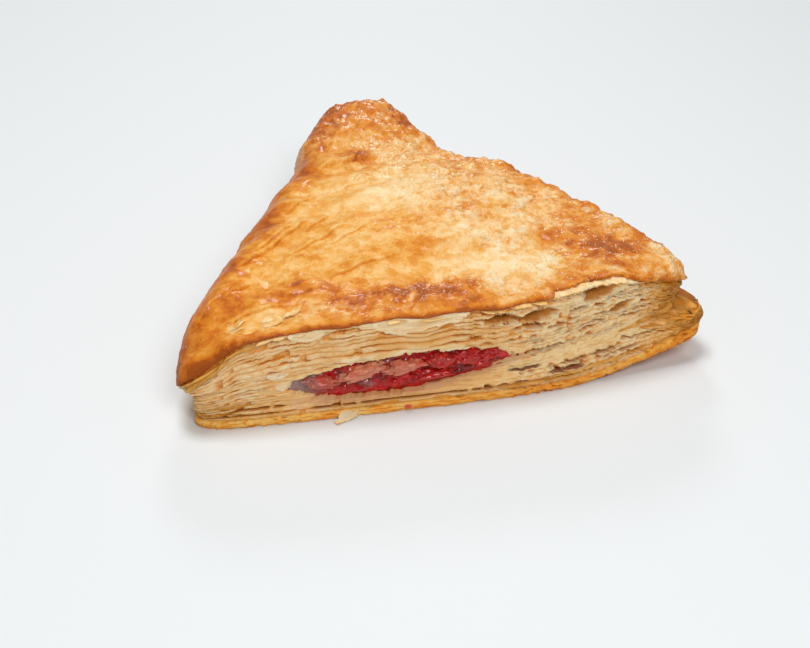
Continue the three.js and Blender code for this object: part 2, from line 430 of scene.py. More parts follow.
BLISTERS = (  # x, y, reach along X and Y, height
    (-6, -4, 8, 5, 0.7),
    (-17, -7, 6, 4, 0.6),
    (-1, -14, 6, 4, 0.5),
    (17, 2, 6, 5, 0.6),
    (6, 14, 6, 3.5, 0.6),
    (20, 20, 7, 5, 0.6),
    (-19, 17, 4, 2.5, 0.6),
    (40, -10, 7, 5, 0.8),
    (52, -24, 8, 4, 0.9),
    (33, -33, 8, 4, 0.6),
    (-4, -36, 24, 3.4, 1.1),
    (-38, -30, 8, 3, 0.7),
    (-10, 68, 7, 9, 0.8),
    (64, -30, 7, 6, 0.7),
)


def patches(x, y, places):
    """The sum of soft patches, each of its own amount in its middle."""
    return sum(
        amount * swell(np.hypot((x - px) / along, (y - py) / across), 1)
        for px, py, along, across, amount in places
    )


def warped(x, y, size, reach, seed):
    """A place moved by noise, which gives the patches there uneven edges."""
    by_x, by_y = (reach * noise(x / size, y / size, seed=each) for each in (seed, seed + 1))
    return x + by_x, y + by_y


def flake_edges(x, y):
    """The rise of the sheets of crust past their edges, and masks for a painted highlight on each lifted edge
    and a painted shadow just below it.
    """
    rise, lit, shaded = 0.0, 0.0, 0.0
    for number, (x0, y0, x1, y1, height, reach) in enumerate(FLAKE_EDGES):
        length = math.hypot(x1 - x0, y1 - y0)
        ux, uy = (x1 - x0) / length, (y1 - y0) / length
        along = (x - x0) * ux + (y - y0) * uy
        off = (y - y0) * ux - (x - x0) * uy
        off = off + 0.9 * noise(along / 6, seed=200 + number) + 0.35 * noise(along / 1.8, seed=220 + number)
        taper = smooth(-2, 4, along) * (1 - smooth(length - 4, length + 2, along))
        past = np.maximum(off, 0)
        sinking = 0.75 * np.exp(-past / reach) + 0.35 * np.exp(-past)
        rise = rise + 1.35 * height * taper * smooth(-0.25, 0.25, off) * sinking
        lit = lit + taper * swell(off - 0.35, 0.35)
        shaded = shaded + taper * swell(off + 0.3, 0.3)
    return rise, lit, shaded


def flaked_off(x, y):
    """1 where the top of the crust has flaked off, and 0 elsewhere."""
    px, py, along, across = FLAKED_OFF
    reach = np.hypot((x - px) / along, (y - py) / across) + 0.35 * noise(x / 3.5, y / 3.5, seed=14)
    return 1 - smooth(0.9, 1.0, reach)


def sugar_amount(x, y):
    """Where the glaze is thick with sugar: the right half, the front band and the apex."""
    right = smooth(-14, 18, x + 0.25 * y)
    band = swell(y + 36, 7) * smooth(-50, -35, x)
    apex = smooth(52, 66, y)
    near_rim = smooth(0.9, 0.96, np.hypot(x, y) / outline_radius(np.arctan2(y, x)))
    rim = 0.45 * near_rim * smooth(-0.1, 0.3, noise(x / 6, y / 6, seed=9))
    spread = np.maximum(np.maximum(right, band), np.maximum(apex, rim))
    return spread * (0.55 + 0.45 * smooth(-0.4, 0.4, noise(x / 9, y / 9, seed=8)))


def torn_edge(angle):
    """The share of the way to the rim at which the crust ends."""
    x = np.cos(angle) * outline_radius(angle) + 0.8 * noise(angle * 30, seed=58)
    start, end = TORN_BACK["start"], TORN_BACK["end"]
    torn = smooth(start, start + 4, x) * smooth(end, end - 8, x)
    torn = torn * (np.sin(angle) < 0) * (1 + 0.25 * noise(angle * 40, seed=59))
    return 1 - TORN_BACK["share"] * torn


def roll_start(angle, radius, sizes):
    """The share of the way to the rim at which the top of the crust starts to roll over."""
    facing = np.radians(side_values("facing"))[:, None]
    squareness = np.cos(angle[None] - facing).max(0)
    return 1 - sizes["shoulder"] / (radius * squareness)


def crust_skin(angle, t, detail=True):
    """The crust's outer skin at a share t of the way to its rim: point, outward direction and attributes."""
    radius = outline_radius(angle)
    near_edge = t / torn_edge(angle)
    sizes = side_sizes(angle)
    inner = roll_start(angle, radius, sizes)
    roll = np.clip((t - TOP_SHARE) / (1 - TOP_SHARE), 0, 1) * math.pi / 2
    share = np.where(t < TOP_SHARE, inner * t / TOP_SHARE, mix(inner, 1, np.sin(roll)))
    x, y = np.cos(angle) * radius * share, np.sin(angle) * radius * share
    z = top_height(x, y) - sizes["drop"] * (1 - np.cos(roll))
    out, up = np.sin(roll) / sizes["shoulder"], np.cos(roll) / sizes["drop"]
    length = np.hypot(out, up)
    out, up = out / length, up / length
    if not detail:
        return (x, y, z), (out, up), {}

    sugar = sugar_amount(x, y)
    rim = smooth(0.86, 1, near_edge)
    hem = smooth(10, 14, sizes["drop"])
    front = smooth(75, 60, turn_between(angle, SIDES["front"][0]))
    wx, wy = warped(x, y, 6, 1.6, 16)
    back = (1 - front) * (1 - hem)
    lumps = 0.55 * fractal(x / 14, y / 14, z / 14, seed=20)
    lumps = lumps + smooth(0.62, 1, t) * back * np.abs(fractal(x / 7.5, y / 7.5, z / 7.5, seed=24)) * 3.2
    for facing, width, depth in CREASES:
        lumps = lumps - depth * swell(turn_between(angle, facing), width) * smooth(0.7, 1, t)
    knobs = np.abs(fractal(x / 4.4, y / 4.4, z / 4.4, seed=30))
    grit = fractal(x / 1.5, y / 1.5, z / 1.5, octaves=2, seed=40)
    rise, lit, shaded = flake_edges(x, y)
    flaked = flaked_off(x, y)
    pebbles = np.abs(fractal(x / 2.3, y / 2.3, z / 2.3, octaves=2, seed=35))
    relief = lumps + (1.05 * knobs + 0.5 * pebbles - 0.4) * mix(0.3, 1, sugar) + mix(0.06, 0.15, sugar) * grit
    relief = relief + rise - 0.5 * flaked + patches(wx, wy, BLISTERS) * 1.3
    ragged = fractal(radius * angle / 7, seed=50) + (0.6 + 0.5 * hem) * noise(radius * angle / 1.7, seed=54)
    out_by = out * relief + mix(0.75, 0.1, hem) * ragged * rim
    up_by = up * relief + mix(0.15 + 0.6 * front, 1.4, hem) * ragged * rim
    point = (x + np.cos(angle) * out_by, y + np.sin(angle) * out_by, z + up_by)

    wx, wy = warped(x, y, 8, 3.2, 18)
    edge = smooth(TOP_SHARE - 0.12, 1, t) * (mix(0.33, 0.16, front) + 0.12 * back)
    streaks = fractal((x - 1.2 * y) / 14, (y + 0.55 * x) / 3.2, seed=66) * (1 - sugar)
    blotches = 0.13 * fractal(x / 11, y / 11, z / 11, seed=60)
    blotches = blotches + mix(0.08, 0.17, sugar) * fractal(x / 2.8, y / 2.8, z / 2.8, seed=63)
    uneven = smooth(-0.1, 0.1, fractal(x / 5, y / 3, z / 4, seed=61))
    browned = patches(wx, wy, BROWN_PATCHES) * (1.05 + 0.45 * uneven)
    bake = mix(0.49, 0.36, sugar) + browned - patches(wx, wy, PALE_PATCHES) + blotches + 0.13 * streaks
    bake = bake + edge + 0.42 * mix(1, 0.4, smooth(18, 34, x)) * front * smooth(0.86, 0.98, near_edge)
    # lit is a painted highlight on the lifted flake edges, and shaded a painted shadow just below them
    bake = bake - 0.12 * lit + 0.22 * shaded + 0.3 * (0.35 - knobs) * sugar
    bake = mix(bake, 0.34 + 0.16 * noise(x / 3, y / 1.5, seed=69), 0.8 * flaked)
    frayed = front * smooth(0.88, 0.96, near_edge) * smooth(-0.4, 0.5, noise(x / 4, t * 14, seed=57))
    frayed = frayed * mix(0.2, 1, smooth(-42, -56, x))
    bake = bake - 0.2 * frayed
    crest = sugar * (0.4 + 0.6 * smooth(0.1, 0.6, knobs)) * (1 - 0.85 * smooth(0.48, 0.68, bake))
    glaze = smooth(0.35, 0.75, bake + 0.3 * noise(x / 5, y / 5, seed=68)) * mix(0.6, 1, sugar)
    glaze = np.maximum(glaze, 0.5 * sugar) * (1 - 0.95 * smooth(0.78, 0.88, near_edge) * front)
    return point, (out, up), {"bake": bake, "sugar": crest, "glaze": glaze}


def crust_at(x, y, detail=True):
    """The skin over a point of the plan."""
    angle = np.arctan2(y, x)
    radius = outline_radius(angle)
    sizes = side_sizes(angle)
    inner = roll_start(angle, radius, sizes)
    share = np.hypot(x, y) / radius
    roll = np.arcsin(np.clip((share - inner) / (1 - inner), 0, 1))
    t = np.where(share < inner, share / inner * TOP_SHARE, TOP_SHARE + (1 - TOP_SHARE) * roll / (math.pi / 2))
    return crust_skin(angle, t, detail)


def sunk_in(point, angle, outward, depth):
    """A point of the skin, moved in by a depth against its outward direction."""
    (x, y, z), (out, up) = point, outward
    return x - np.cos(angle) * out * depth, y - np.sin(angle) * out * depth, z - up * depth


def crust_form(columns, rows, thickness):
    """The crust: its outer skin, its edge, and its underside back to the middle."""
    angles = station_angles(columns, FRONT_CLOSENESS["crust"])
    outer, edge = round(rows * CRUST_ROWS["outer"]), CRUST_ROWS["edge"]
    inner = rows - outer - edge

    def form(column, row):
        angle = angles[column]
        t = np.where(row <= outer, row / outer, 1.0)
        back = np.clip(row - outer - edge, 0, inner) / inner
        t = np.where(row > outer + edge, 1 - back**2.2, t) * torn_edge(angle)
        point, outward, attributes = crust_skin(angle, t)
        under = np.clip((row - outer) / edge, 0, 1)
        x, y, z = sunk_in(point, angle, outward, under * thickness)
        z = z - EDGE_BULGE * np.sin(np.pi * under)
        attributes["sugar"] = attributes["sugar"] * (row <= outer)
        attributes["bake"] = attributes["bake"] + 0.05 * (row > outer - 2)
        return (x, y, z), attributes

    return form


# ---- Layers --------------------------------------------------------------------------------------

LAYER_COUNT = 21
LAYER_ROWS = 6  # of a layer: the gap below, its wall, the lower lip, the middle, the upper lip, its wall
LAYERS_BELOW_CRUST = 0.12  # from the crust's underside to the layers
BOTTOM_ROWS = 5  # of the underside of the layers, from the sides to the middle
LAYER_WIDTHS = np.random.default_rng(SEEDS["layers"]).uniform(0.45, 1.7, LAYER_COUNT)
LAYER_EDGES = np.concatenate([[0], np.cumsum(LAYER_WIDTHS)]) / LAYER_WIDTHS.sum()
LAYER_RISE = 0.16  # of the front's height, to the right
AIR_POCKETS = (  # x, z, width, height, depth
    (14.6, 26.2, 5.2, 1.5, 3.8),
    (24.5, 25.8, 5.8, 2.0, 4.4),
    (45, 30.4, 6.8, 2.4, 5.4),
    (35.5, 31.5, 3.6, 1.0, 3.0),
    (51.8, 23.8, 4.4, 1.5, 3.6),
    (42, 18.7, 3.6, 0.7, 2.0),
    (31, 21.6, 2.8, 0.55, 1.6),
    (37.5, 26, 3.0, 0.6, 1.8),
    (7.3, 20.9, 2.2, 0.4, 1.4),
)
SLITS = (  # the boundary that opens, counted from the base, from x to x, and how much painted shade darkens it inside
    (1, -74, -50, 0.6),
    (2, -66, -49, 0.7),
    (3, -75, -64, 0.5),
    (5, -75, -69, 0.4),
    (1, -40, 12, 0.9),
    (2, 30, 40, 1.0),
    (3, 34, 41, 0.6),
    (3, 43, 50, 0.6),
    (4, 18, 26.5, 1.0),
    (2, 45, 56, 0.5),
    (4, 52, 62, 0.4),
    (9, 30, 36, 0.3),
    (11, 38, 46, 0.35),
    (13, 44, 51, 0.3),
    (8, 45, 54, 0.3),
    (15, 21, 28, 0.3),
    (12, 21, 27, 0.25),
    (10, 52, 59, 0.3),
    (16, 47, 55, 0.3),
    (14, 31, 38, 0.3),
)
CREAM_SMEARS = (  # x, z, reach along X and Z, how far out
    (-50.5, 15.8, 3.2, 1.0, 0.9),
    (-47.5, 11.6, 4.5, 1.0, 0.7),
    (-41, 9.4, 5.5, 0.9, 0.6),
    (-30, 18.2, 8, 0.7, 0.5),
    (-12, 19.4, 8, 0.7, 0.5),
    (2, 18.2, 4, 0.7, 0.5),
)
WHITE_EDGE = (  # x and z of the lower edge of the pale sheet under the crust
    (-50, 29),
    (-46, 27),
    (-41, 26),
    (-35, 28.2),
    (-29, 29),
    (-22, 27.6),
    (-15, 24.6),
    (-8, 26),
    (2, 27),
    (8, 29),
)
DOUGH_LINE = (  # x and z of the middle of the band of soft dough
    (-52, 9),
    (-36, 7),
    (-10, 5),
    (10, 6),
    (20, 8.8),
    (40, 12),
    (60, 16.5),
)
DOUGH_HALF = 2.6  # half its height
HOLLOW_DEPTH = 7.0  # of the layers behind the filling


def filling_thickness(upper):
    """How far the filling reaches from its middle, upwards where upper is true and else downwards."""
    return np.where(upper, FILLING["high"] - FILLING["middle"], FILLING["middle"] - FILLING["low"])


def filling_nearness(x, z):
    """1 on the outline of the filling in the front, and less inside it."""
    above = z - FILLING["middle"]
    up = np.sign(above) * (np.abs(above) / filling_thickness(z > FILLING["middle"])) ** (1 / FILLING_POINTED)
    return np.hypot((x - FILLING_MIDDLE_X - FILLING["lean"] * up) / FILLING_HALF, up)


def pocket_push(x, z):
    """How far the air pockets push the layers up."""
    push = 0.0
    for px, pz, width, tall, _ in AIR_POCKETS:
        across, up = (x - px) / width, z - pz - pocket_slope(px) * (x - px)
        fading = np.exp(-np.abs(up) / (2.2 * tall))
        push = push + 0.45 * tall * np.exp(-(across**4)) * np.tanh(up / (0.6 * tall)) * fading
    return push


def pocket_slope(x):
    """How steeply an air pocket at x rises to the right."""
    return 0.02 + 0.2 * smooth(8, 34, x)


def pocket_depths(x, z):
    """How deep the air pockets are, how far inside one a place is, and where their edges and roofs are."""
    deep, inside, rim, roof = 0.0, 0.0, 0.0, 0.0
    for px, pz, width, tall, depth in AIR_POCKETS:
        up = (z - pz - pocket_slope(px) * (x - px)) / tall
        reach = np.hypot((x - px) / width, up)
        reach = reach + 0.25 * noise(x / 4, z / 2.5, seed=77)
        deep = np.maximum(deep, depth * (1 - smooth(0.1, 1.0, reach)))
        inside = np.maximum(inside, 1 - smooth(0.8, 1.0, reach))
        # roof: the upper part of a pocket, which gets a painted shadow
        roof = np.maximum(roof, (1 - smooth(0.95, 1.1, reach)) * smooth(0.1, 0.7, up))
        # rim: the ring round a pocket, which gets a painted highlight
        rim = np.maximum(rim, swell(reach - 1.15, 0.14))
    return deep, inside, rim, roof


def sheets_pair(x):
    """How far the layers hang together in pairs, from 0 on the left to 1 on the right."""
    return smooth(4, 18, x)


def gap(boundary, along, x):
    """How far the gap at a boundary between layers is open, from 0 to 1, and how much painted shade darkens
    it.
    """
    opened = smooth(-0.05, 0.42, noise(along / 9, boundary * 7.3, seed=75) + 0.12 * smooth(0, 20, x))
    opened = opened * mix(0.75, 1, smooth(-0.3, 0.2, noise(along / 3.5, boundary * 5.1, seed=83)))
    opened = opened * mix(0.5, 1, smooth(-12, 14, x)) * mix(1, 0.12, (boundary % 2 == 0) * sheets_pair(x))
    broken = smooth(-0.55, -0.3, noise(along / 3, boundary * 3.3, seed=76))
    dark = 0.0
    for number, x0, x1, dim in SLITS:
        within = dim * (boundary == number) * smooth(-1.5, 1, x - x0) * smooth(-1.5, 1, x1 - x)
        dark = np.maximum(dark, within * broken)
    inner = (boundary > 0) * (boundary < LAYER_COUNT)
    return np.maximum(opened, dark) * inner, dark * inner


def layer_rows(number, along, x):
    """For each row of vertices: its layer, level, how sunk it is, its lip, how open its gap is and how much
    painted shade darkens it.

    A lip is 1 along the upper edge of a layer, -1 along its lower edge, and 0 elsewhere.
    """
    layer, step = np.divmod(number, LAYER_ROWS)
    below, below_dark = gap(layer, along, x)
    above, above_dark = gap(layer + 1, along, x)
    slit = sheets_pair(x) * np.maximum(below_dark, above_dark)
    wide = [0.05 + (0.36 + 0.2 * sheets_pair(x)) * opened * (1 - 0.5 * slit) for opened in (below, above)]
    low, high = wide[0] + 0.04, 1 - wide[1] - 0.04
    part = np.choose(step, (0 * x, 0.75 * wide[0], low, (low + high) / 2, high, 1 - 0.75 * wide[1]))
    sunk = np.choose(step, (1, 0.85, 0, 0, 0, 0.85))
    upper = step > 3
    lip = (step == 4) * 1.0 - (step == 2)
    opened, dark = np.where(upper, above, below), np.where(upper, above_dark, below_dark)
    return layer, layer + part, sunk, lip, opened, dark


def layer_relief(rows, along, height, x, z, front):
    """How far the layers' edges stand out, with and without gaps, how toasted they are with painted shade and
    painted highlights on them, and attributes.
    """
    layer, level, sunk, lip, opened, dark = rows
    edge = 0.5 * noise(along / 12, layer * 3.7, seed=73) + 0.25 * noise(along / 4, layer * 5.3, seed=74)
    edge = edge - 0.9 * smooth(0.3, 0.45, noise(along / 9, layer * 7.7, seed=82))
    groove = (2.6 + 0.8 * smooth(5, 20, x)) * opened * (1 - 0.25 * dark * sheets_pair(x))
    relief = mix(edge + 0.3 * np.abs(lip) * opened, -0.35 - groove, sunk)

    middle = np.interp(x, *zip(*DOUGH_LINE))
    nearness = filling_nearness(x, z)
    near = nearness + 0.1 * noise(x / 4, z / 2.2, seed=78) + 0.05 * noise(x / 1.3, z / 0.9, seed=81)
    dough = 1 - smooth(0.6, 1.15, np.abs(z - middle) / DOUGH_HALF)
    dough = dough * smooth(-56, -44, x) * (1 - smooth(56, 68, x))
    dough = np.maximum(dough, 1 - smooth(1.08, 1.3, near)) * front * (1 - smooth(0.2, 0.5, dark))
    white_low = np.interp(x, *zip(*WHITE_EDGE))
    white_low = white_low + 0.5 * noise(x / 3.5, seed=112) + 0.25 * noise(x / 1.2, seed=113)
    above = z - white_low - 6 * smooth(0, 12, x + 4 * noise(x / 3, z / 0.7, seed=128))
    above = above - 4 * smooth(-44, -52, x)
    white = smooth(-0.15, 0.25, above) * (x > -60) * (x < 16) * front
    hollow = (1 - smooth(0.95, 1.03, near)) * (nearness < 1.07) * front
    pockets, inside, rim, roof = [values * front for values in pocket_depths(x, z)]
    undercut = smooth(0.93, 0.965, height) * (1 - white)
    undercut = undercut * smooth(-0.3, 0.3, noise(along / 5, seed=116)) * front

    soft = 0.3 + 0.25 * fractal(x / 6, z / 3, seed=84)
    relief = mix(relief, soft, dough * 0.75)
    folds = 0.55 * noise(x / 5, z / 1.6, seed=114) + 0.3 * noise(x / 2, z / 0.8, seed=117)
    relief = mix(relief, 0.5 + folds - 0.1 * (z - white_low), white * 0.85)
    cream = 0.0
    for px, pz, wide, high, out in CREAM_SMEARS:
        reach = np.hypot((x - px) / wide, (z - pz) / high) + 0.3 * noise(x / 2.5, z / 1.2, seed=115)
        cream = np.maximum(cream, out * (1 - smooth(0.75, 1.0, reach)))
    cream = cream * front
    relief = mix(relief + cream + 0.4 * rim - 1.2 * undercut * (1 - sunk), -0.5 - pockets, inside)
    relief = relief - 0.8 * smooth(0.9, 0.97, height) * (1 - white) * (1 - inside) * front
    relief = mix(relief, -HOLLOW_DEPTH, hollow)

    bare = (1 - dough) * (1 - white)
    # deep is painted shade: darker where the surface lies back, under the crust's overhang, on the lower lips
    # of open gaps and in the hollow round the filling
    deep = smooth(0.05, -1.3, relief) * bare + 0.5 * undercut + 0.4 * opened * (lip < 0)
    deep = np.clip(deep, 0, 1) * (1 - inside)
    tone = 0.13 * noise(along / 15, layer * 5.9, seed=110) + 0.06 * noise(along / 4, layer * 8.1, seed=111)
    # painted shade in the sunk rows of the gaps
    tone = tone + 0.16 * sunk * mix(1, 0.6, dough) * (1 - white)
    tone = tone - (0.12 + 0.25 * np.maximum(folds, 0)) * white
    # the cream smears are paler in their own colour; the rims of the air pockets get a painted highlight
    tone = tone - 0.24 * np.minimum(cream * 1.6, 1) - 0.26 * rim
    # painted highlight on the lips of open gaps, strongest on the upper lips that face the light
    tone = tone - mix(0.1, 0.3, lip > 0) * np.abs(lip) * opened
    slit = np.maximum(sunk, 0.9 * np.abs(lip) * sheets_pair(x))
    lined = 1 - np.maximum(inside, np.maximum(0.55 * dough, 0.1 * white))
    stain = smooth(1.32, 1.0, near) * smooth(0, -2, z - FILLING["middle"] - 0.1 * x) * (1 - hollow) * front
    pale = np.maximum(white * (0.2 + 0.75 * np.clip(1.5 * folds, 0, 1)), np.minimum(0.8 * cream, 0.6))
    attributes = {
        "deep": np.maximum(deep, hollow) * front,
        # dark is painted shade in the slits and on their lips, and a painted shadow under the air pockets'
        # roofs
        "dark": np.maximum(dark * slit * front, 0.75 * roof),
        "dough": dough,
        "level": level,
        "along": along,
        "inside": inside,
        "lined": lined,
        "stain": stain,
        "pale": pale,
    }
    return relief, edge, tone, attributes


def layers_form(columns, rows, crust_thickness, base_thickness):
    """The layers: rows under the crust, then down the sides, then under the layers to the middle."""
    angles = station_angles(columns, FRONT_CLOSENESS["layers"])
    side = LAYER_COUNT * LAYER_ROWS
    top = rows - side - BOTTOM_ROWS

    def form(column, row):
        angle = angles[column]
        radius = outline_radius(angle)
        along = radius * angle
        sizes = side_sizes(angle)
        t = (1 - (1 - np.clip(row / top, 0, 1)) ** 1.8) * 0.97
        point, outward, _ = crust_skin(angle, t)
        under = crust_thickness + LAYERS_BELOW_CRUST
        under = under + 3 * (1 - smooth(0.7, 0.94, t)) * smooth(0.86, 1, torn_edge(angle))
        cx, cy, cz = sunk_in(point, angle, outward, under)

        (_, _, rim_z), _, _ = crust_skin(angle, np.ones_like(t))
        rim_x = np.cos(angle) * radius
        low = base_height(rim_x) + base_thickness - 0.1
        high = rim_z - 0.15
        seam = sizes["seam"] / (high - low + base_thickness)
        front = smooth(74, 66, turn_between(angle, -90)) * (rim_x < 78)
        lined = layer_rows(np.clip(side - (row - top), 0, side), along, rim_x)
        height = np.interp(lined[1], np.arange(LAYER_COUNT + 1), LAYER_EDGES)
        shift = 0.035 * noise(along / 30, height * 2.5, seed=70)
        shift = shift + 0.014 * noise(along / 10, height * 8, seed=71)
        shift = shift + LAYER_RISE * smooth(12, 62, rim_x)
        uneven = mix(0.0055, 0.02, smooth(-10, 20, rim_x))
        shift = shift + uneven * noise(along / 5.5, lined[1] * 0.5, seed=72)
        height = height + np.sin(math.pi * height) * shift
        z = mix(low, high, height)
        z = z + pocket_push(rim_x, z) * front * smooth(0, 0.06, height) * smooth(1, 0.94, height)
        relief, edge, tone, attributes = layer_relief(lined, along, height, rim_x, z, front)
        relief = relief * smooth(0, 0.03, height) * smooth(1.0, 0.985, height)
        lip = smooth(2, 6, sizes["lip"]) * smooth(seam + 0.1, seam, height)
        rough = 0.9 * noise(along / 5, height * 3, seed=85) + 0.5 * noise(along / 1.8, height * 9, seed=86)
        relief = relief + lip * rough
        outward = radius + side_form(sizes, height, seam) + relief - 0.25
        ledge = smooth(3, 8, sizes["lip"]) * swell(height - seam, 0.07)
        attributes["lined"] = attributes["lined"] * (1 - 0.9 * ledge)
        crumpled = 1.4 * np.abs(noise(along / 4, outward / 3, seed=87))
        crumpled = crumpled + 0.8 * np.abs(noise(along / 1.8, outward / 1.4, seed=88))
        z = z + ledge * crumpled
        sx, sy = np.cos(angle) * outward, np.sin(angle) * outward

        inward = 1 - np.clip((row - top - side) / BOTTOM_ROWS, 0, 1)
        sx, sy = sx * inward, sy * inward
        z = np.where(row > top + side, base_height(sx) + base_thickness - 0.1, z)
        on_top = row < top
        x, y, z = np.where(on_top, cx, sx), np.where(on_top, cy, sy), np.where(on_top, cz, z)

        left_low = smooth(-40, -62, rim_x) * smooth(0.3, 0.08, height)
        tip = smooth(54, 74, rim_x)
        browned = 0.72 * tip + 0.12 * left_low + 0.16 * smooth(0.12, 0.04, height) + 0.5 * (1 - front)
        browned = browned - 0.55 * ledge * (0.5 + noise(along / 3, outward / 2, seed=89))
        dry = 0.14 * fractal(rim_x / 12, along / 12, z / 5, seed=80)
        toast = 0.3 - 0.06 * smooth(-20, -45, rim_x) - 0.13 * smooth(10, 30, rim_x) + browned
        toast = toast + 0.12 * np.maximum(edge, -0.6) + dry + tone - 0.06 * attributes["dough"]
        toast = np.where(on_top, 0.12 + 0.16 * fractal(along / 7, t * 14, seed=118), toast)
        z = z + on_top * 0.35 * noise(along / 6, t * 16, seed=119)
        attributes["level"] = np.where(on_top, LAYER_COUNT + 16 * (1 - t), attributes["level"])
        torn = smooth(0.99, 0.94, torn_edge(angle)) * smooth(0.88, 0.94, height)
        attributes["deep"] = attributes["deep"] * (1 - 0.8 * torn)
        toast = toast - 0.1 * torn * (1 - on_top)
        for title in ("dark", "inside", "pale", "dough", "stain"):
            attributes[title] = attributes[title] * (1 - on_top)
        # painted shade on the layers' top, darker further in under the torn crust
        attributes["deep"] = np.where(on_top, 0.12 * smooth(0.97, 0.82, t), attributes["deep"])
        return (x, y, z), {"toast": toast, **attributes}

    return form


# ---- Sheets: layers whose edges stand out --------------------------------------------------------

SHEETS = (  # from x to x, z at both ends (from the crust's edge if negative), reach, droop, thickness, toast
    (-77, -54, -0.7, -0.9, 1.7, 1.2, 0.35, 0.55),
    (-76, -62, -1.6, -1.0, 2.0, 2.6, 0.5, 0.5),
    (-76, -48, 4.4, 5.0, 1.1, 0.1, 0.35, 0.7),
    (-74, -56, 6.4, 7.0, 0.9, 0.1, 0.3, 0.6),
    (26, 56, 4.2, 7.6, 1.0, 0.1, 0.3, 0.5),
    (12, 44, 3.2, 4.6, 0.9, 0.1, 0.3, 0.5),
    (40, 66, 9.6, 14.6, 0.8, 0.2, 0.4, 0.6),
    (50, 72, 14.4, 19.4, 0.8, 0.2, 0.4, 0.62),
    (-66, -30, -0.6, -0.4, 0.9, 0.7, 0.3, 0.2),
    (-34, 10, -0.3, -0.7, 0.6, 0.3, 0.25, 0.28),
    (2, 34, -0.5, -0.3, 1.0, 0.4, 0.25, 0.28),
)
SHEET_ROOT = 2.6  # how far inside the layers a sheet starts
FRONT_SPAN = (-152, -14)  # degrees between which the front lies


def front_angle(x):
    """The angle at which the front's outline is at x."""
    fine = np.radians(np.linspace(*FRONT_SPAN, 1400))
    return np.interp(x, np.cos(fine) * outline_radius(fine), fine)


def sheets_form(columns, rows):
    """Thin sheets along the front, each with a ragged outer edge and its inner edge inside the layers."""
    table = np.array(SHEETS).T

    def form(column, row, number):
        x0, x1, z0, z1, reach, droop, thick, toast = [values[number] for values in table]
        u = row / rows
        turn = column / columns * TAU
        x = mix(x0, x1, u)
        angle = front_angle(x)
        radius = outline_radius(angle)
        sizes = side_sizes(angle)
        (_, _, high), _, _ = crust_skin(angle, np.ones_like(x), detail=False)
        z = mix(z0, z1, u) + np.where(z0 < 0, high, 0)
        z = z + 0.35 * noise(x / 9, number * 7.7, seed=120) + 0.12 * noise(x / 2.5, number * 7.7, seed=121)
        height = np.clip(z / high, 0, 1)
        ends = (1 - np.abs(2 * u - 1) ** 5) ** 0.6
        ragged = 0.5 * noise(x / 5, number * 3.3, seed=122) + 0.35 * noise(x / 1.6, number * 3.3, seed=123)
        ragged = ragged + (z0 > 0) * 0.5 * noise(x / 1.1, number * 4.7, seed=126)
        ragged = ragged - 1.6 * (z0 < 0) * smooth(-0.1, 0.3, noise(x / 4.5, number * 6.1, seed=125))
        out = 0.5 + 0.5 * np.cos(turn)
        outward = (reach + ragged + SHEET_ROOT) * out * ends - SHEET_ROOT
        across = radius + side_form(sizes, height, sizes["seam"] / high) + outward
        z = z + thick / 2 * np.sin(turn) * ends - droop * out**3 * ends
        edge = smooth(0.75, 1.0, out)
        shade = toast + 0.12 * edge + 0.12 * noise(x / 3, number * 5.1, seed=124)
        attributes = {"toast": shade, "along": x, "level": 4 * number + out, "lined": 1.0}
        return (np.cos(angle) * across, np.sin(angle) * across, z), attributes

    return form


# ---- Flakes and sugar on the crust ---------------------------------------------------------------

FLAKE_SPOTS = (  # x, y, spread along X and Y, share of the flakes, bake
    (-53, -38, 7, 2.5, 0.8, 0.24),
    (-66, -38, 5, 3, 0.2, 0.34),
)


def flakes_form(columns, rows, count):
    """Loose flakes: thin, uneven bits that lie on the crust and curl up a little."""
    draw = np.random.default_rng(SEEDS["flakes"])
    spots = np.array(FLAKE_SPOTS)
    pick = draw.choice(len(spots), count, p=spots[:, 4] / spots[:, 4].sum())
    x = spots[pick, 0] + draw.normal(size=count) * spots[pick, 2] * 0.6
    y = spots[pick, 1] + draw.normal(size=count) * spots[pick, 3] * 0.6
    (cx, cy, cz), _, _ = crust_at(x, y)
    size = draw.uniform(1.6, 4.4, count)
    narrow = draw.uniform(0.2, 0.5, count)
    heading = draw.uniform(0.1, 0.8, count)
    curl = draw.uniform(0.05, 0.28, count)
    toast = spots[pick, 5] + draw.uniform(-0.1, 0.1, count)

    def form(column, row, number):
        turn, fall = ball_turns(column, row, columns, rows)
        uneven = noise(np.cos(turn) * 2.2, np.sin(turn) * 2.2, number * 5.7, seed=130)
        reach = np.sin(fall) * (1 + 0.75 * uneven)
        u, v = reach * np.cos(turn) * size[number], reach * np.sin(turn) * size[number] * narrow[number]
        cos, sin = np.cos(heading[number]), np.sin(heading[number])
        px, py = cx[number] + u * cos - v * sin, cy[number] + u * sin + v * cos
        (_, _, ground), _, _ = crust_at(px, py, detail=False)
        (_, _, middle), _, _ = crust_at(cx, cy, detail=False)
        lift = 0.12 + curl[number] * np.maximum(-v, 0) * 0.7 + 0.02 * u**2 * curl[number]
        lift = lift + 0.04 * np.cos(fall)
        pz = cz[number] + ground - middle[number] + lift
        bake = toast[number] + 0.2 * noise(px / 1.5, py / 1.5, seed=131)
        return (px, py, pz), {"bake": bake, "sugar": 0.0, "glaze": 0.3}

    return form


SUGAR_FIELD = ((-82, 82), (-48, 98))  # the ranges of x and y in which grains are drawn
SUGAR_DRAW = 9000  # places drawn at a time
SUGAR_INSET = 0.6  # from the outline


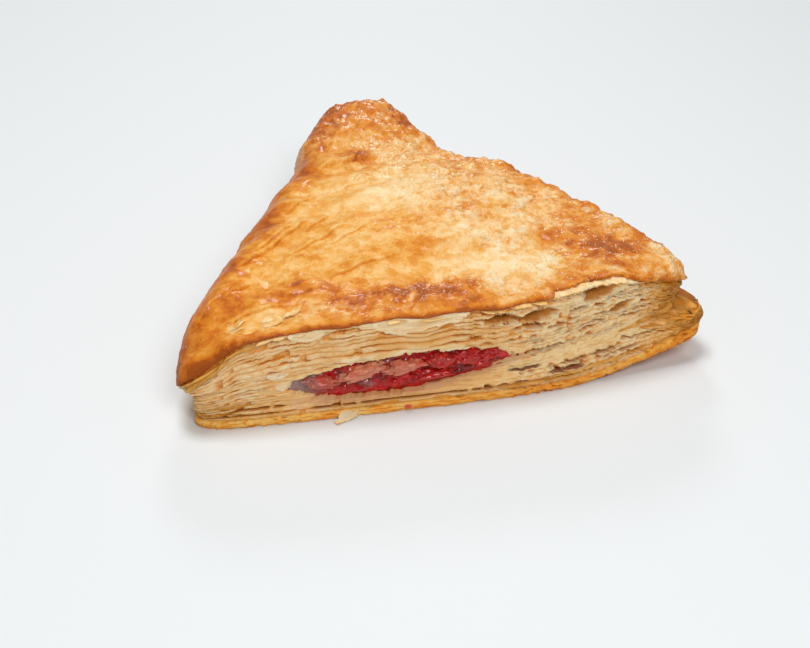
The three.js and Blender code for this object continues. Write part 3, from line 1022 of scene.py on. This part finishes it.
def sugar_form(columns, rows, count, grain):
    """Grains of sugar, sunk nearly to their middles where the glaze is thick with sugar."""
    draw = np.random.default_rng(SEEDS["sugar"])
    x, y = np.empty(0), np.empty(0)
    while len(x) < count:
        nx, ny = (draw.uniform(*span, SUGAR_DRAW) for span in SUGAR_FIELD)
        inside = np.hypot(nx, ny) < outline_radius(np.arctan2(ny, nx)) - SUGAR_INSET
        clump = smooth(-0.2, 0.5, noise(nx / 5, ny / 5, seed=140))
        wanted = sugar_amount(nx, ny) ** 2 * (0.25 + 0.75 * clump)
        keep = inside & (draw.uniform(size=SUGAR_DRAW) < wanted)
        x, y = np.concatenate([x, nx[keep]]), np.concatenate([y, ny[keep]])
    x, y = x[:count], y[:count]
    (cx, cy, cz), _, _ = crust_at(x, y)
    size = grain * (1 + 1.8 * draw.uniform(size=count) ** 3)
    spin = draw.uniform(0, TAU, count)

    def form(column, row, number):
        turn, fall = ball_turns(column, row, columns, rows)
        turn = turn + spin[number]
        blunt = 1 + 0.55 * noise(number * 3.1, column * 1.7, row * 1.9, seed=141)
        reach = size[number] * blunt
        level = reach * np.sin(fall)
        px, py = cx[number] + level * np.cos(turn), cy[number] + level * np.sin(turn)
        return (px, py, cz[number] + reach * (0.8 * np.cos(fall) + 0.1)), {}

    return form


# ---- Base crust ----------------------------------------------------------------------------------


FLAT_ROWS = 6  # of the top of the bottom crust, and as many of its underside


def base_form(columns, rows, thickness):
    """The bottom crust: its flat top, its ragged and browned edge with painted shade in its splits, and its
    underside.
    """
    angles = station_angles(columns, FRONT_CLOSENESS["base"])
    flat = FLAT_ROWS
    side = rows - 2 * flat

    def form(column, row):
        angle = angles[column]
        radius = outline_radius(angle)
        sizes = side_sizes(angle)
        along = radius * angle
        down = np.clip((row - flat) / side, 0, 1)  # 0 at the upper edge, 1 at the lower one
        wander = 0.6 * noise(along / 9, seed=90) + 0.45 * noise(along / 2.6, down * 1.5, seed=91)
        split = 0.6 * smooth(0.1, 0.5, noise(along / 7, down * 5, seed=92))
        split = split + 0.22 * noise(along / 1.1, down * 7, seed=93)
        round_off = 0.7 * (1 - np.sin(math.pi * np.clip(0.12 + 0.8 * down, 0, 1)))
        tip = smooth(50, 76, np.cos(angle) * radius)
        outward = radius + lip_foot(sizes) * sizes["lip"] + 1.0 + 0.8 * tip + wander - split - round_off
        share = np.where(row < flat, row / flat, np.where(row > flat + side, (rows - row) / flat, 1.0))
        x, y = np.cos(angle) * outward * share, np.sin(angle) * outward * share
        thick = thickness + 1.6 * tip + 0.5 * noise(along / 7, seed=94) + 0.3 * noise(along / 2, seed=97)
        lift = 0.45 * np.maximum(0, noise(along / 4, seed=95)) * smooth(0.85, 1, share)
        z = base_height(x) + mix(thick, lift, down)
        bake = 0.26 + 0.1 * smooth(-40, 0, x) + 0.22 * fractal(x / 6, y / 6, z / 2, seed=96)
        # down browns the lower edge; split adds painted shade in the splits of the edge
        bake = bake + 0.22 * down**2 + 0.25 * smooth(0, 0.5, split) + 0.12 * tip
        return (x, y, z), {"bake": bake, "sugar": 0.0, "glaze": 0.1}

    return form


# ---- Filling -------------------------------------------------------------------------------------

CHUNKS = (  # x, z, half its length and height, slope, how pale: pieces of fruit that show in the front
    (-26, 13.6, 6.4, 2.3, 0.22, 0.9),
    (-13.5, 13.9, 5.6, 2.0, 0.12, 0.75),
    (-37, 11.6, 5.0, 1.7, -0.08, 0.4),
    (-3, 14.6, 4.0, 2.2, 0.1, 0.06),
    (5, 14.9, 4.2, 2.4, 0.1, 0.0),
    (11, 15.2, 3.0, 1.7, 0.1, 0.0),
    (-5, 10.4, 6.0, 1.6, 0.1, 0.04),
)


FACE_SHARE = 0.55  # of the filling's rows, in its face
FACE_DEPTH = 2.0  # how far behind the solid's face the lumps of the filling start


def filling_form(columns, rows):
    """The filling: its lumpy face in the front, and its body back towards the apex."""
    face = round(rows * FACE_SHARE)

    def form(column, row):
        turn = column / columns * TAU
        across, up = np.cos(turn), np.sin(turn)
        share = np.clip(row / face, 0, 1)
        depth = np.clip((row - face) / (rows - face), 0, 1)
        spread = np.where(row < face, share, np.sqrt(1 - depth**2.4))
        wider = mix(1.14, 1.0, depth)
        x = FILLING_MIDDLE_X + wider * spread * (FILLING_HALF * across + FILLING["lean"] * up)
        thick = filling_thickness(up > 0)
        z = FILLING["middle"] + wider * spread * thick * np.sign(up) * np.abs(up) ** FILLING_POINTED
        rough = mix(0.4, 1, smooth(-20, -4, x))
        lumps = 1.8 * np.abs(noise(x / 3.6, z / 2.8, seed=100))
        lumps = lumps + 0.9 * rough * np.abs(noise(x / 1.6, z / 1.5, seed=101))
        seeds = 0.25 * smooth(0.2, 0.6, noise(x / 0.8, z / 0.8, seed=102)) * smooth(-14, 0, x)
        out = 0.6 + (lumps + seeds) * smooth(1.0, 0.8, share * 1.14)
        y = FILLING_FACE + FACE_DEPTH - out * (row <= face) + depth * (FILLING["depth"] - FACE_DEPTH)
        clouds = 0.5 * smooth(0.2, 0.6, noise(x / 7, z / 2.5, seed=103))
        milky = smooth(-34, -44, x) + clouds * smooth(-12, -20, x)
        attributes = {"fruit": 0.0, "milky": np.clip(milky, 0, 1), "shade": fractal(x / 6, z / 3, seed=104)}
        return (x, y, z), attributes

    return form


def chunks_form(columns, rows):
    """Soft lumps of fruit in the face of the filling."""
    table = np.array(CHUNKS).T

    def form(column, row, number):
        cx, cz, long, tall, slope, pale = [values[number] for values in table]
        turn, fall = ball_turns(column, row, columns, rows)
        u, v, w = np.cos(fall), np.sin(fall) * np.cos(turn), np.sin(fall) * np.sin(turn)
        lump = 1 + 0.5 * fractal(u * 1.8, v * 1.8, w * 1.8 + number * 9.1, seed=150)
        lump = lump + 0.14 * noise(u * 5, v * 5, w * 5 + number * 9.1, seed=155)
        x = cx + long * lump * u
        z = cz + tall * lump * w + slope * long * u
        y = FILLING_FACE + 0.7 + 2.1 * lump * v
        skin = smooth(-0.05, 0.45, noise(x / 3, z / 1.1, number * 3.3, seed=156))
        shade = 0.5 * skin + 0.2 * noise(x / 2, z / 2, seed=157)
        milky = 0.7 * smooth(-36, -42, x)
        return (x, y, z), {"fruit": pale * (1 - 0.4 * skin), "milky": milky, "shade": shade}

    return form


# ---- Crumbs --------------------------------------------------------------------------------------

FALLEN_FLAKE = (-30.8, -47.6, 0.25)  # x, y and z of the flake that leans on the bottom of the front
JAM_DROP = (-12.8, -47.0, 1.9)  # x, y and z of its middle


def fallen_form(columns, rows):
    """A thin curled flake on the table, against the bottom of the front."""

    def form(column, row):
        turn, fall = ball_turns(column, row, columns, rows)
        uneven = noise(np.cos(turn) * 1.6, np.sin(turn) * 1.6, seed=160)
        reach = np.sin(fall) * (1 + 0.45 * uneven)
        u, v = reach * np.cos(turn), reach * np.sin(turn)
        x = FALLEN_FLAKE[0] + 3.6 * u + 0.9 * v
        y = FALLEN_FLAKE[1] + 1.4 * v + 1.1 * u
        z = FALLEN_FLAKE[2] + 0.9 * (v + 0.5) ** 2 + 0.5 * u**2 + 0.12 * np.cos(fall)
        z = z + 0.15 * noise(u * 3, v * 3, seed=161)
        attributes = {"toast": 0.1 - 0.2 * v, "along": x, "level": v, "lined": 1.0}
        return (x, y, np.maximum(z, 0.02 + 0.1 * (np.cos(fall) + 1))), attributes

    return form


def drop_form(columns, rows):
    """A drop of jam on the edge of the bottom crust."""

    def form(column, row):
        turn, fall = ball_turns(column, row, columns, rows)
        x = JAM_DROP[0] + 1.1 * np.cos(turn) * np.sin(fall)
        z = JAM_DROP[2] + 0.6 * np.sin(turn) * np.sin(fall)
        return (x, JAM_DROP[1] - 0.5 * np.cos(fall), z), {"fruit": 0.35, "milky": 0.0, "shade": 0.8}

    return form


# ---- Materials -----------------------------------------------------------------------------------


def linear(code):
    """A linear colour from its six-digit screen code."""
    parts = [int(code[i : i + 2], 16) / 255 for i in (0, 2, 4)]
    return tuple(p / 12.92 if p <= 0.04045 else ((p + 0.055) / 1.055) ** 2.4 for p in parts)


def rgba(colour):
    return (*colour[:3], 1.0)


class Nodes:
    """A short way of adding and linking nodes."""

    def __init__(self, tree):
        self.tree = tree

    def wire(self, node, inputs):
        """Links or sets a node's inputs, which are named or numbered."""
        for name, value in inputs.items():
            socket = node.inputs[name]
            if isinstance(value, bpy.types.NodeSocket):
                self.tree.links.new(value, socket)
            else:
                socket.default_value = value

    def add(self, kind, inputs=None, **settings):
        node = self.tree.nodes.new(kind)
        for name, value in settings.items():
            setattr(node, name, value)
        self.wire(node, inputs or {})
        return node

    def math(self, operation, a, b=0.0, clamp=False):
        return self.add("ShaderNodeMath", {0: a, 1: b}, operation=operation, use_clamp=clamp).outputs[0]

    def plus(self, a, b):
        return self.math("ADD", a, b)

    def minus(self, a, b):
        return self.math("SUBTRACT", a, b)

    def times(self, a, b):
        return self.math("MULTIPLY", a, b)

    def mix(self, share, a, b):
        """Colour a at a share of 0, and colour b at 1."""
        a, b = (each if isinstance(each, bpy.types.NodeSocket) else rgba(each) for each in (a, b))
        return self.add("ShaderNodeMix", {"Factor": share, 6: a, 7: b}, data_type="RGBA").outputs[2]

    def spread(self, value, low, high, **ends):
        """A value made to run from 0 at low to 1 at high, or between the ends given."""
        inputs = {"Value": value, "From Min": low, "From Max": high}
        inputs.update({name.replace("_", " "): end for name, end in ends.items()})
        return self.add("ShaderNodeMapRange", inputs).outputs[0]

    def bump(self, height, strength, distance):
        inputs = {"Height": height, "Strength": strength, "Distance": distance}
        return self.add("ShaderNodeBump", inputs).outputs[0]

    def ramp(self, value, stops):
        node = self.add("ShaderNodeValToRGB", {"Fac": value})
        elements = node.color_ramp.elements
        while len(elements) < len(stops):
            elements.new(0.5)
        for element, (place, colour) in zip(elements, stops):
            element.position = place
            element.color = rgba(colour)
        return node.outputs["Color"]

    def attribute(self, name):
        return self.add("ShaderNodeAttribute", attribute_name=name).outputs["Fac"]

    def noise(self, place, scale, detail, roughness):
        inputs = {"Vector": place, "Scale": scale, "Detail": detail, "Roughness": roughness}
        return self.add("ShaderNodeTexNoise", inputs).outputs[0]


def node_group(name, defaults, outputs, fill):
    """A node group, made once. fill(nodes, inputs, place) gives the value of each of its outputs."""
    if name in bpy.data.node_groups:
        return bpy.data.node_groups[name]
    tree = bpy.data.node_groups.new(name, "ShaderNodeTree")
    for title, default in defaults.items():
        socket = tree.interface.new_socket(title, in_out="INPUT", socket_type="NodeSocketFloat")
        socket.default_value = default
    for title in outputs:
        tree.interface.new_socket(title, in_out="OUTPUT", socket_type="NodeSocketFloat")
    n = Nodes(tree)
    given = n.add("NodeGroupInput").outputs
    place = n.add("ShaderNodeTexCoord").outputs["Object"]
    values = fill(n, given, place)
    n.add("NodeGroupOutput", dict(zip(outputs, values)))
    return tree


def fill_mottling(n, given, place):
    speckle = n.noise(place, given["Speckle Scale"], 4.0, 0.7)
    blotch = n.noise(place, given["Blotch Scale"], 5.0, 0.7)
    mask = n.plus(n.times(speckle, 0.4), n.times(blotch, 0.6))
    ridges = n.math("ABSOLUTE", n.minus(blotch, 0.5))
    height = n.plus(n.times(speckle, 0.6), n.times(ridges, -2.0))
    return mask, n.spread(blotch, 0.47, 0.55), height


def mottling(n, speckle=900.0, blotch=260.0):
    """Fine unevenness of baked dough: a soft mask, patches with crisp edges, and a height."""
    scales = {"Speckle Scale": speckle, "Blotch Scale": blotch}
    tree = node_group("Baked mottling", scales, ("Mask", "Patches", "Height"), fill_mottling)
    return n.add("ShaderNodeGroup", scales, node_tree=tree).outputs


def new_material(name, **constants):
    """A material and its Principled shader, with the values that are the same all over set on its sockets."""
    material = bpy.data.materials.new(name)
    material.use_nodes = True
    shader = material.node_tree.nodes["Principled BSDF"]
    for title, value in constants.items():
        shader.inputs[title.replace("_", " ")].default_value = value
    return material, Nodes(material.node_tree), shader


def fill_pebbles(n, given, place):
    bend = n.add("ShaderNodeTexNoise", {"Vector": place, "Scale": 900.0, "Detail": 2.0})
    push = n.add("ShaderNodeVectorMath", {0: bend.outputs["Color"], "Scale": 0.0009}, operation="SCALE")
    moved = n.add("ShaderNodeVectorMath", {0: place, 1: push.outputs[0]}, operation="ADD")
    inputs = {"Vector": moved.outputs[0], "Scale": given["Scale"], "Smoothness": 0.35}
    cells = n.add("ShaderNodeTexVoronoi", inputs, feature="SMOOTH_F1")
    height = n.math("SUBTRACT", 1.0, cells.outputs["Distance"], clamp=True)
    return height, n.add("ShaderNodeSeparateColor", {"Color": cells.outputs["Color"]}).outputs[0]


def pebbling(n):
    """The pebbled surface that melted sugar leaves: a height, and a tone for each pebble."""
    tree = node_group("Sugar pebbles", {"Scale": 1150.0}, ("Height", "Tone"), fill_pebbles)
    return n.add("ShaderNodeGroup", node_tree=tree).outputs


BAKE_STOPS = (0.0, 0.26, 0.46, 0.64, 0.84, 1.04)  # how baked the crust is at each colour, from pale to dark
TOAST_STOPS = (0.05, 0.32, 0.62, 0.95)  # and the layers
FROST = "fdebcb"  # the colour of melted sugar
LAYER_TINTS = (  # attribute, how much it tints, and the colour
    ("dough", 0.4, "f3ca88"),
    ("stain", 0.55, "b5705a"),
    ("pale", 0.8, "ffe9cc"),
    # inside, deep and dark tint painted shade: in the air pockets; in gaps, hollows and under overhangs; in
    # the slits and under the pockets' roofs
    ("inside", 0.95, "c07a26"),
    ("deep", 0.9, "e08c18"),
    ("dark", 0.95, "843408"),
)


def crust_material(name, colours, glazing):
    """Baked dough, from pale to dark, with frosty sugar and a glaze where it has them."""
    material, n, shader = new_material(
        name,
        Subsurface_Weight=0.06,
        Subsurface_Radius=(1.0, 0.5, 0.2),
        Subsurface_Scale=0.001,
        Specular_IOR_Level=0.12,
        Coat_Roughness=0.13,
        IOR=1.42,
    )
    mottled, pebbles = mottling(n), pebbling(n)
    mask, melted = mottled["Mask"], n.minus(1.0, mottled["Patches"])
    sugar, glaze = n.attribute("sugar"), n.attribute("glaze")
    speckles = n.times(n.minus(mask, 0.5), n.plus(n.times(sugar, 0.3), 0.4))
    islands = n.times(n.minus(mottled["Patches"], 0.5), 0.12)
    bake = n.plus(n.plus(n.attribute("bake"), speckles), islands)
    baked = n.ramp(bake, [(min(stop, 1.0), colour) for stop, colour in zip(BAKE_STOPS, colours)])
    crystals = n.spread(pebbles["Tone"], 0.45, 0.8)
    frost = n.times(sugar, n.math("MAXIMUM", n.times(melted, 0.6), crystals))
    rough = n.plus(mottled["Height"], n.times(pebbles["Height"], n.plus(sugar, 0.1)))
    outputs = {
        "Base Color": n.mix(n.times(frost, 0.8), baked, linear(FROST)),
        "Roughness": n.spread(mask, 0.35, 0.65, To_Min=0.6, To_Max=0.4),
        "Coat Weight": n.math("MULTIPLY", n.plus(n.times(glaze, glazing), 0.06), mask, clamp=True),
        "Normal": n.bump(rough, 0.85, 0.0007),
    }
    n.wire(shader, outputs)
    return material


def layer_material(name, colours):
    """Pale flaky dough in fine lines, toasted at its edges, with painted shade in its gaps, pockets and
    slits.
    """
    material, n, shader = new_material(
        name,
        Roughness=0.6,
        Specular_IOR_Level=0.25,
        Subsurface_Weight=0.3,
        Subsurface_Radius=(1.0, 0.65, 0.3),
        Subsurface_Scale=0.0025,
        IOR=1.4,
    )
    mottled = mottling(n, 1400.0, 380.0)
    mask = n.times(n.minus(mottled["Mask"], 0.5), 0.5)
    across = {"X": n.times(n.attribute("along"), 0.1), "Y": n.attribute("level")}
    leaves = n.noise(n.add("ShaderNodeCombineXYZ", across).outputs[0], 1.7, 3.0, 0.7)
    fine = n.times(n.minus(leaves, 0.5), n.attribute("lined"))
    toast = n.plus(n.plus(n.attribute("toast"), mask), n.times(fine, 0.9))
    colour = n.ramp(toast, list(zip(TOAST_STOPS, colours)))
    for title, share, code in LAYER_TINTS:
        colour = n.mix(n.times(n.attribute(title), share), colour, linear(code))
    rough = n.plus(n.times(mottled["Height"], 0.5), fine)
    n.wire(shader, {"Base Color": colour, "Normal": n.bump(rough, 0.7, 0.0006)})
    return material


SUGAR_TAN = (0.88, 0.68, 0.42)  # how much of each of its colours is left where sugar caramelised


def sugar_material(name, colour):
    """Cloudy grains, some of them tanned by the heat."""
    material, n, shader = new_material(
        name,
        Subsurface_Weight=0.5,
        Subsurface_Radius=(1.0, 0.8, 0.6),
        Subsurface_Scale=0.0006,
        Coat_Weight=0.3,
        Coat_Roughness=0.1,
        IOR=1.5,
    )
    mask = mottling(n, 2600.0, 900.0)["Mask"]
    tan = [part * share for part, share in zip(colour, SUGAR_TAN)]
    tint = n.ramp(mask, [(0.35, tan), (0.6, colour)])
    n.wire(shader, {"Base Color": tint, "Roughness": n.spread(mask, 0.3, 0.7, To_Min=0.12, To_Max=0.35)})
    return material


def filling_material(name, jam, fruit, milk):
    """Wet jam, pale where it is fruit and clouded where dough touches it."""
    material, n, shader = new_material(
        name,
        Roughness=0.2,
        Specular_IOR_Level=0.1,
        Subsurface_Weight=0.25,
        Subsurface_Radius=(1.0, 0.15, 0.1),
        Subsurface_Scale=0.0015,
        Coat_Weight=0.9,
        Coat_Roughness=0.02,
        IOR=1.45,
    )
    mottled = mottling(n, 1600.0, 520.0)
    shade = n.plus(mottled["Mask"], n.times(n.attribute("shade"), 0.4))
    dark = [part * 0.3 for part in jam]
    bright = [min(1, part * 1.5 + 0.01) for part in jam]
    colour = n.ramp(shade, [(0.25, dark), (0.5, jam), (0.8, bright)])
    colour = n.mix(n.times(n.attribute("fruit"), 0.9), colour, fruit)
    colour = n.mix(n.times(n.attribute("milky"), 0.8), colour, milk)
    n.wire(shader, {"Base Color": colour, "Normal": n.bump(mottled["Height"], 0.9, 0.001)})
    return material


def finish_piece(piece, material, slot, *nodes):
    """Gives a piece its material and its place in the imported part."""
    if not np.isfinite([piece.dimensions]).all() or max(piece.dimensions) == 0:
        raise RuntimeError(f"{piece.name} has no shape")
    piece.data.materials.append(material)
    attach(piece, "root")
    if nodes:
        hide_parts(*nodes)


# ---- Sizes and colours that can be changed -------------------------------------------------------


def length(name, description, mm):
    return bpy.props.FloatProperty(
        name=name, description=description, default=mm * MM, min=0.0, precision=4, unit="LENGTH"
    )


def power(name, description, watts):
    return bpy.props.FloatProperty(
        name=name, description=description, default=watts, min=0.0, unit="POWER"
    )


def pointer(name, description, kind):
    return bpy.props.PointerProperty(name=name, description=description, type=kind)


def colour(name, description, code):
    return bpy.props.FloatVectorProperty(
        name=name, description=description, default=linear(code), min=0.0, max=1.0, size=3, subtype="COLOR"
    )


class TURNOVER_PG_crust(bpy.types.PropertyGroup):
    thickness: length("Thickness", "How thick the top crust is at its edge", 0.9)
    flake_count: bpy.props.IntProperty(
        name="Flakes", description="Number of loose flakes where the crust has flaked off", default=9, min=1
    )
    glazing: bpy.props.FloatProperty(
        name="Glaze",
        description="How shiny the glazed places are",
        default=0.62,
        min=0.0,
        max=1.0,
        subtype="FACTOR",
    )
    pale: colour("Pale", "Colour of the palest, sugary places", "f8e0b0")
    light: colour("Light", "Colour of lightly baked places", "f3c785")
    golden: colour("Golden", "Colour of most of the crust", "eaaa50")
    amber: colour("Amber", "Colour of well baked places", "dd8a28")
    brown: colour("Brown", "Colour of the browned patches", "c86a18")
    dark: colour("Dark", "Colour of the darkest spots", "a65216")


class TURNOVER_PG_layers(bpy.types.PropertyGroup):
    pale: colour("Pale", "Colour of the palest edges of layers", "ffe2b2")
    cream: colour("Cream", "Colour of most layers", "f5be7a")
    toasted: colour("Toasted", "Colour of toasted layers", "de9c44")
    brown: colour("Brown", "Colour of the brownest layers", "a06024")


class TURNOVER_PG_base(bpy.types.PropertyGroup):
    thickness: length("Thickness", "How thick the bottom crust is", 2.3)
    pale: colour("Pale", "Colour of the palest places", "ffd68a")
    light: colour("Light", "Colour of lightly baked places", "ffc768")
    golden: colour("Golden", "Colour of most of the bottom crust", "f9aa42")
    amber: colour("Amber", "Colour of well baked places", "ec8c28")
    brown: colour("Brown", "Colour of its browned edges", "be671d")
    dark: colour("Dark", "Colour of the darkest spots", "84431a")


class TURNOVER_PG_sugar(bpy.types.PropertyGroup):
    count: bpy.props.IntProperty(name="Grains", description="Number of grains of sugar", default=3400, min=1)
    grain: length("Grain", "Radius of the smallest grains", 0.09)
    tint: colour("Colour", "Colour of the sugar", "fbe3bd")


class TURNOVER_PG_filling(bpy.types.PropertyGroup):
    jam: colour("Jam", "Colour of the jam", "cc0c10")
    fruit: colour("Fruit", "Colour of the pale pieces of fruit", "f8a27c")
    milk: colour("Milky", "Colour of the filling where dough clouds it", "a2948e")


class TURNOVER_PG_stage(bpy.types.PropertyGroup):
    distance: length("Distance", "From the camera to what it aims at", 496)
    key_power: power("Key light", "Power of the light above", 5.8)
    front_power: power("Front light", "Power of the light in front", 4.3)
    back_power: power("Back light", "Power of the light behind", 1.9)
    floor: colour("Floor", "Colour of the floor", "e0e5e9")


class TURNOVER_PG_settings(bpy.types.PropertyGroup):
    crust: pointer("Crust", "The top crust", TURNOVER_PG_crust)
    layers: pointer("Layers", "The layers in the sides", TURNOVER_PG_layers)
    base: pointer("Base crust", "The bottom crust", TURNOVER_PG_base)
    sugar: pointer("Sugar", "The grains of sugar", TURNOVER_PG_sugar)
    filling: pointer("Filling", "The filling", TURNOVER_PG_filling)
    stage: pointer("Stage", "Floor, lights and camera", TURNOVER_PG_stage)


BASE_GLAZING = 0.5  # how shiny the bottom crust is where it is glazed
CRUST_SHADES = ("pale", "light", "golden", "amber", "brown", "dark")
LAYER_SHADES = ("pale", "cream", "toasted", "brown")


def shades(group, names):
    """Some colours of a property group, as plain tuples."""
    return [tuple(getattr(group, name)) for name in names]


# ---- Operators -----------------------------------------------------------------------------------


class TURNOVER_OT_crust(bpy.types.Operator):
    """Make the glazed and sugared crust, and the flakes on it"""

    bl_idname = "turnover.crust"
    bl_label = "Crust"

    def execute(self, context):
        chosen = context.scene.turnover.crust
        piece = moulded("crust", crust_form, chosen.thickness / MM)
        material = crust_material("glazed crust", shades(chosen, CRUST_SHADES), chosen.glazing)
        finish_piece(piece, material, "crust", "pastry")
        piece = scattered("flakes", chosen.flake_count, flakes_form, chosen.flake_count)
        finish_piece(piece, material, "crust")
        return {"FINISHED"}


class TURNOVER_OT_layers(bpy.types.Operator):
    """Make the flaky layers that show in the sides, and those that stand out"""

    bl_idname = "turnover.layers"
    bl_label = "Layers"

    def execute(self, context):
        chosen = context.scene.turnover
        material = layer_material("flaky layers", shades(chosen.layers, LAYER_SHADES))
        thicknesses = chosen.crust.thickness / MM, chosen.base.thickness / MM
        finish_piece(moulded("layers", layers_form, *thicknesses), material, "crust")
        finish_piece(scattered("sheets", len(SHEETS), sheets_form), material, "crust")
        return {"FINISHED"}


class TURNOVER_OT_base(bpy.types.Operator):
    """Make the browned bottom crust"""

    bl_idname = "turnover.base"
    bl_label = "Base crust"

    def execute(self, context):
        chosen = context.scene.turnover.base
        piece = moulded("base_crust", base_form, chosen.thickness / MM)
        material = crust_material("base crust", shades(chosen, CRUST_SHADES), BASE_GLAZING)
        finish_piece(piece, material, "crust")
        return {"FINISHED"}


class TURNOVER_OT_sugar(bpy.types.Operator):
    """Make the grains of sugar on the crust"""

    bl_idname = "turnover.sugar"
    bl_label = "Sugar"

    def execute(self, context):
        chosen = context.scene.turnover.sugar
        piece = scattered("sugar", chosen.count, sugar_form, chosen.count, chosen.grain / MM)
        finish_piece(piece, sugar_material("sugar", tuple(chosen.tint)), "crust")
        return {"FINISHED"}


class TURNOVER_OT_filling(bpy.types.Operator):
    """Make the fruit filling and the pieces of fruit in it"""

    bl_idname = "turnover.filling"
    bl_label = "Filling"

    def execute(self, context):
        chosen = context.scene.turnover.filling
        material = filling_material("fruit filling", *shades(chosen, ("jam", "fruit", "milk")))
        finish_piece(moulded("fruit_filling", filling_form), material, "filling", "filling")
        finish_piece(scattered("fruit_chunks", len(CHUNKS), chunks_form), material, "filling")
        return {"FINISHED"}


class TURNOVER_OT_crumbs(bpy.types.Operator):
    """Make the flake that fell off the front and the drop of jam on the base"""

    bl_idname = "turnover.crumbs"
    bl_label = "Crumbs"

    def execute(self, context):
        layers, jam = (bpy.data.materials.get(name) for name in ("flaky layers", "fruit filling"))
        if layers is None or jam is None:
            raise RuntimeError("the layers and the filling are made before the crumbs")
        finish_piece(moulded("fallen_flake", fallen_form), layers, "crust")
        finish_piece(moulded("jam_drop", drop_form), jam, "filling")
        return {"FINISHED"}


FLOOR_HALF = 3.0
CAMERA_AIM = (-5.6, -25.2, 0.0)  # in mm; the lamps' places and sizes are in metres
CAMERA = {"azimuth": -12.0, "elevation": 32.3, "roll": 0.3, "lens": 71.1, "sensor": 36.0, "clip": 0.01}
WORLD = {"colour": (1.0, 0.91, 0.78, 1), "strength": 0.24}
KEY_LIGHT = {"at": (-0.12, 0.05, 1.0), "size": 0.35}
FRONT_LIGHT = {"at": (0.08, -0.72, 0.74), "size": 0.4}
BACK_LIGHT = {"at": (0.16, 0.86, 0.52), "size": 0.2}


class TURNOVER_OT_stage(bpy.types.Operator):
    """Make the floor, the lights and the camera"""

    bl_idname = "turnover.stage"
    bl_label = "Stage"

    def execute(self, context):
        chosen = context.scene.turnover.stage
        bm = bmesh.new()
        bmesh.ops.create_grid(bm, x_segments=1, y_segments=1, size=FLOOR_HALF)
        floor = new_object("floor", bm)
        material, _, _ = new_material("pale floor", Base_Color=rgba(tuple(chosen.floor)), Roughness=0.7)
        floor.data.materials.append(material)

        azimuth, elevation = math.radians(CAMERA["azimuth"]), math.radians(CAMERA["elevation"])
        level = math.cos(elevation)
        back = Vector((math.sin(azimuth) * level, -math.cos(azimuth) * level, math.sin(elevation)))
        data = bpy.data.cameras.new("camera")
        data.lens, data.sensor_width = CAMERA["lens"], CAMERA["sensor"]
        data.clip_start = CAMERA["clip"]
        camera = link_piece("camera", data)
        roll = Matrix.Rotation(math.radians(CAMERA["roll"]), 3, "Z")
        turn = (-back).to_track_quat("-Z", "Y").to_matrix() @ roll
        place = Vector(CAMERA_AIM) * MM + back * chosen.distance
        camera.matrix_world = Matrix.Translation(place) @ turn.to_4x4()
        context.scene.camera = camera

        for name, lamp, power in (
            ("key light", KEY_LIGHT, chosen.key_power),
            ("front light", FRONT_LIGHT, chosen.front_power),
            ("back light", BACK_LIGHT, chosen.back_power),
        ):
            data = bpy.data.lights.new(name, "AREA")
            data.size, data.energy = lamp["size"], power
            light = link_piece(name, data)
            aim = Vector(lamp["at"]).to_track_quat("Z", "Y").to_matrix().to_4x4()
            light.matrix_world = Matrix.Translation(lamp["at"]) @ aim

        world = bpy.data.worlds.new("studio")
        world.use_nodes = True
        light = world.node_tree.nodes["Background"].inputs
        light["Color"].default_value = WORLD["colour"]
        light["Strength"].default_value = WORLD["strength"]
        context.scene.world = world
        context.scene.view_settings.view_transform = "Standard"
        return {"FINISHED"}


class TURNOVER_PT_panel(bpy.types.Panel):
    bl_label = "Turnover"
    bl_space_type = "VIEW_3D"
    bl_region_type = "UI"
    bl_category = "Turnover"

    def draw(self, context):
        for operator in OPERATORS:
            self.layout.operator(operator.bl_idname)
            part = operator.bl_idname.split(".")[1]
            group = getattr(context.scene.turnover, part, None)
            for name in group.__annotations__ if group else ():
                self.layout.prop(group, name)


OPERATORS = (
    TURNOVER_OT_crust,
    TURNOVER_OT_layers,
    TURNOVER_OT_base,
    TURNOVER_OT_sugar,
    TURNOVER_OT_filling,
    TURNOVER_OT_crumbs,
    TURNOVER_OT_stage,
)
GROUPS = (
    TURNOVER_PG_crust,
    TURNOVER_PG_layers,
    TURNOVER_PG_base,
    TURNOVER_PG_sugar,
    TURNOVER_PG_filling,
    TURNOVER_PG_stage,
    TURNOVER_PG_settings,
)
CLASSES = (*GROUPS, *OPERATORS, TURNOVER_PT_panel)


def register():
    for each in CLASSES:
        bpy.utils.register_class(each)
    bpy.types.Scene.turnover = pointer(
        "Turnover", "Sizes and colours of the turnover", TURNOVER_PG_settings
    )


def unregister():
    del bpy.types.Scene.turnover
    for each in reversed(CLASSES):
        bpy.utils.unregister_class(each)


def main():
    register()
    bpy.ops.turnover.crust()
    bpy.ops.turnover.layers()
    bpy.ops.turnover.base()
    bpy.ops.turnover.sugar()
    bpy.ops.turnover.filling()
    bpy.ops.turnover.crumbs()
    bpy.ops.turnover.stage()


if __name__ == "__main__":
    main()
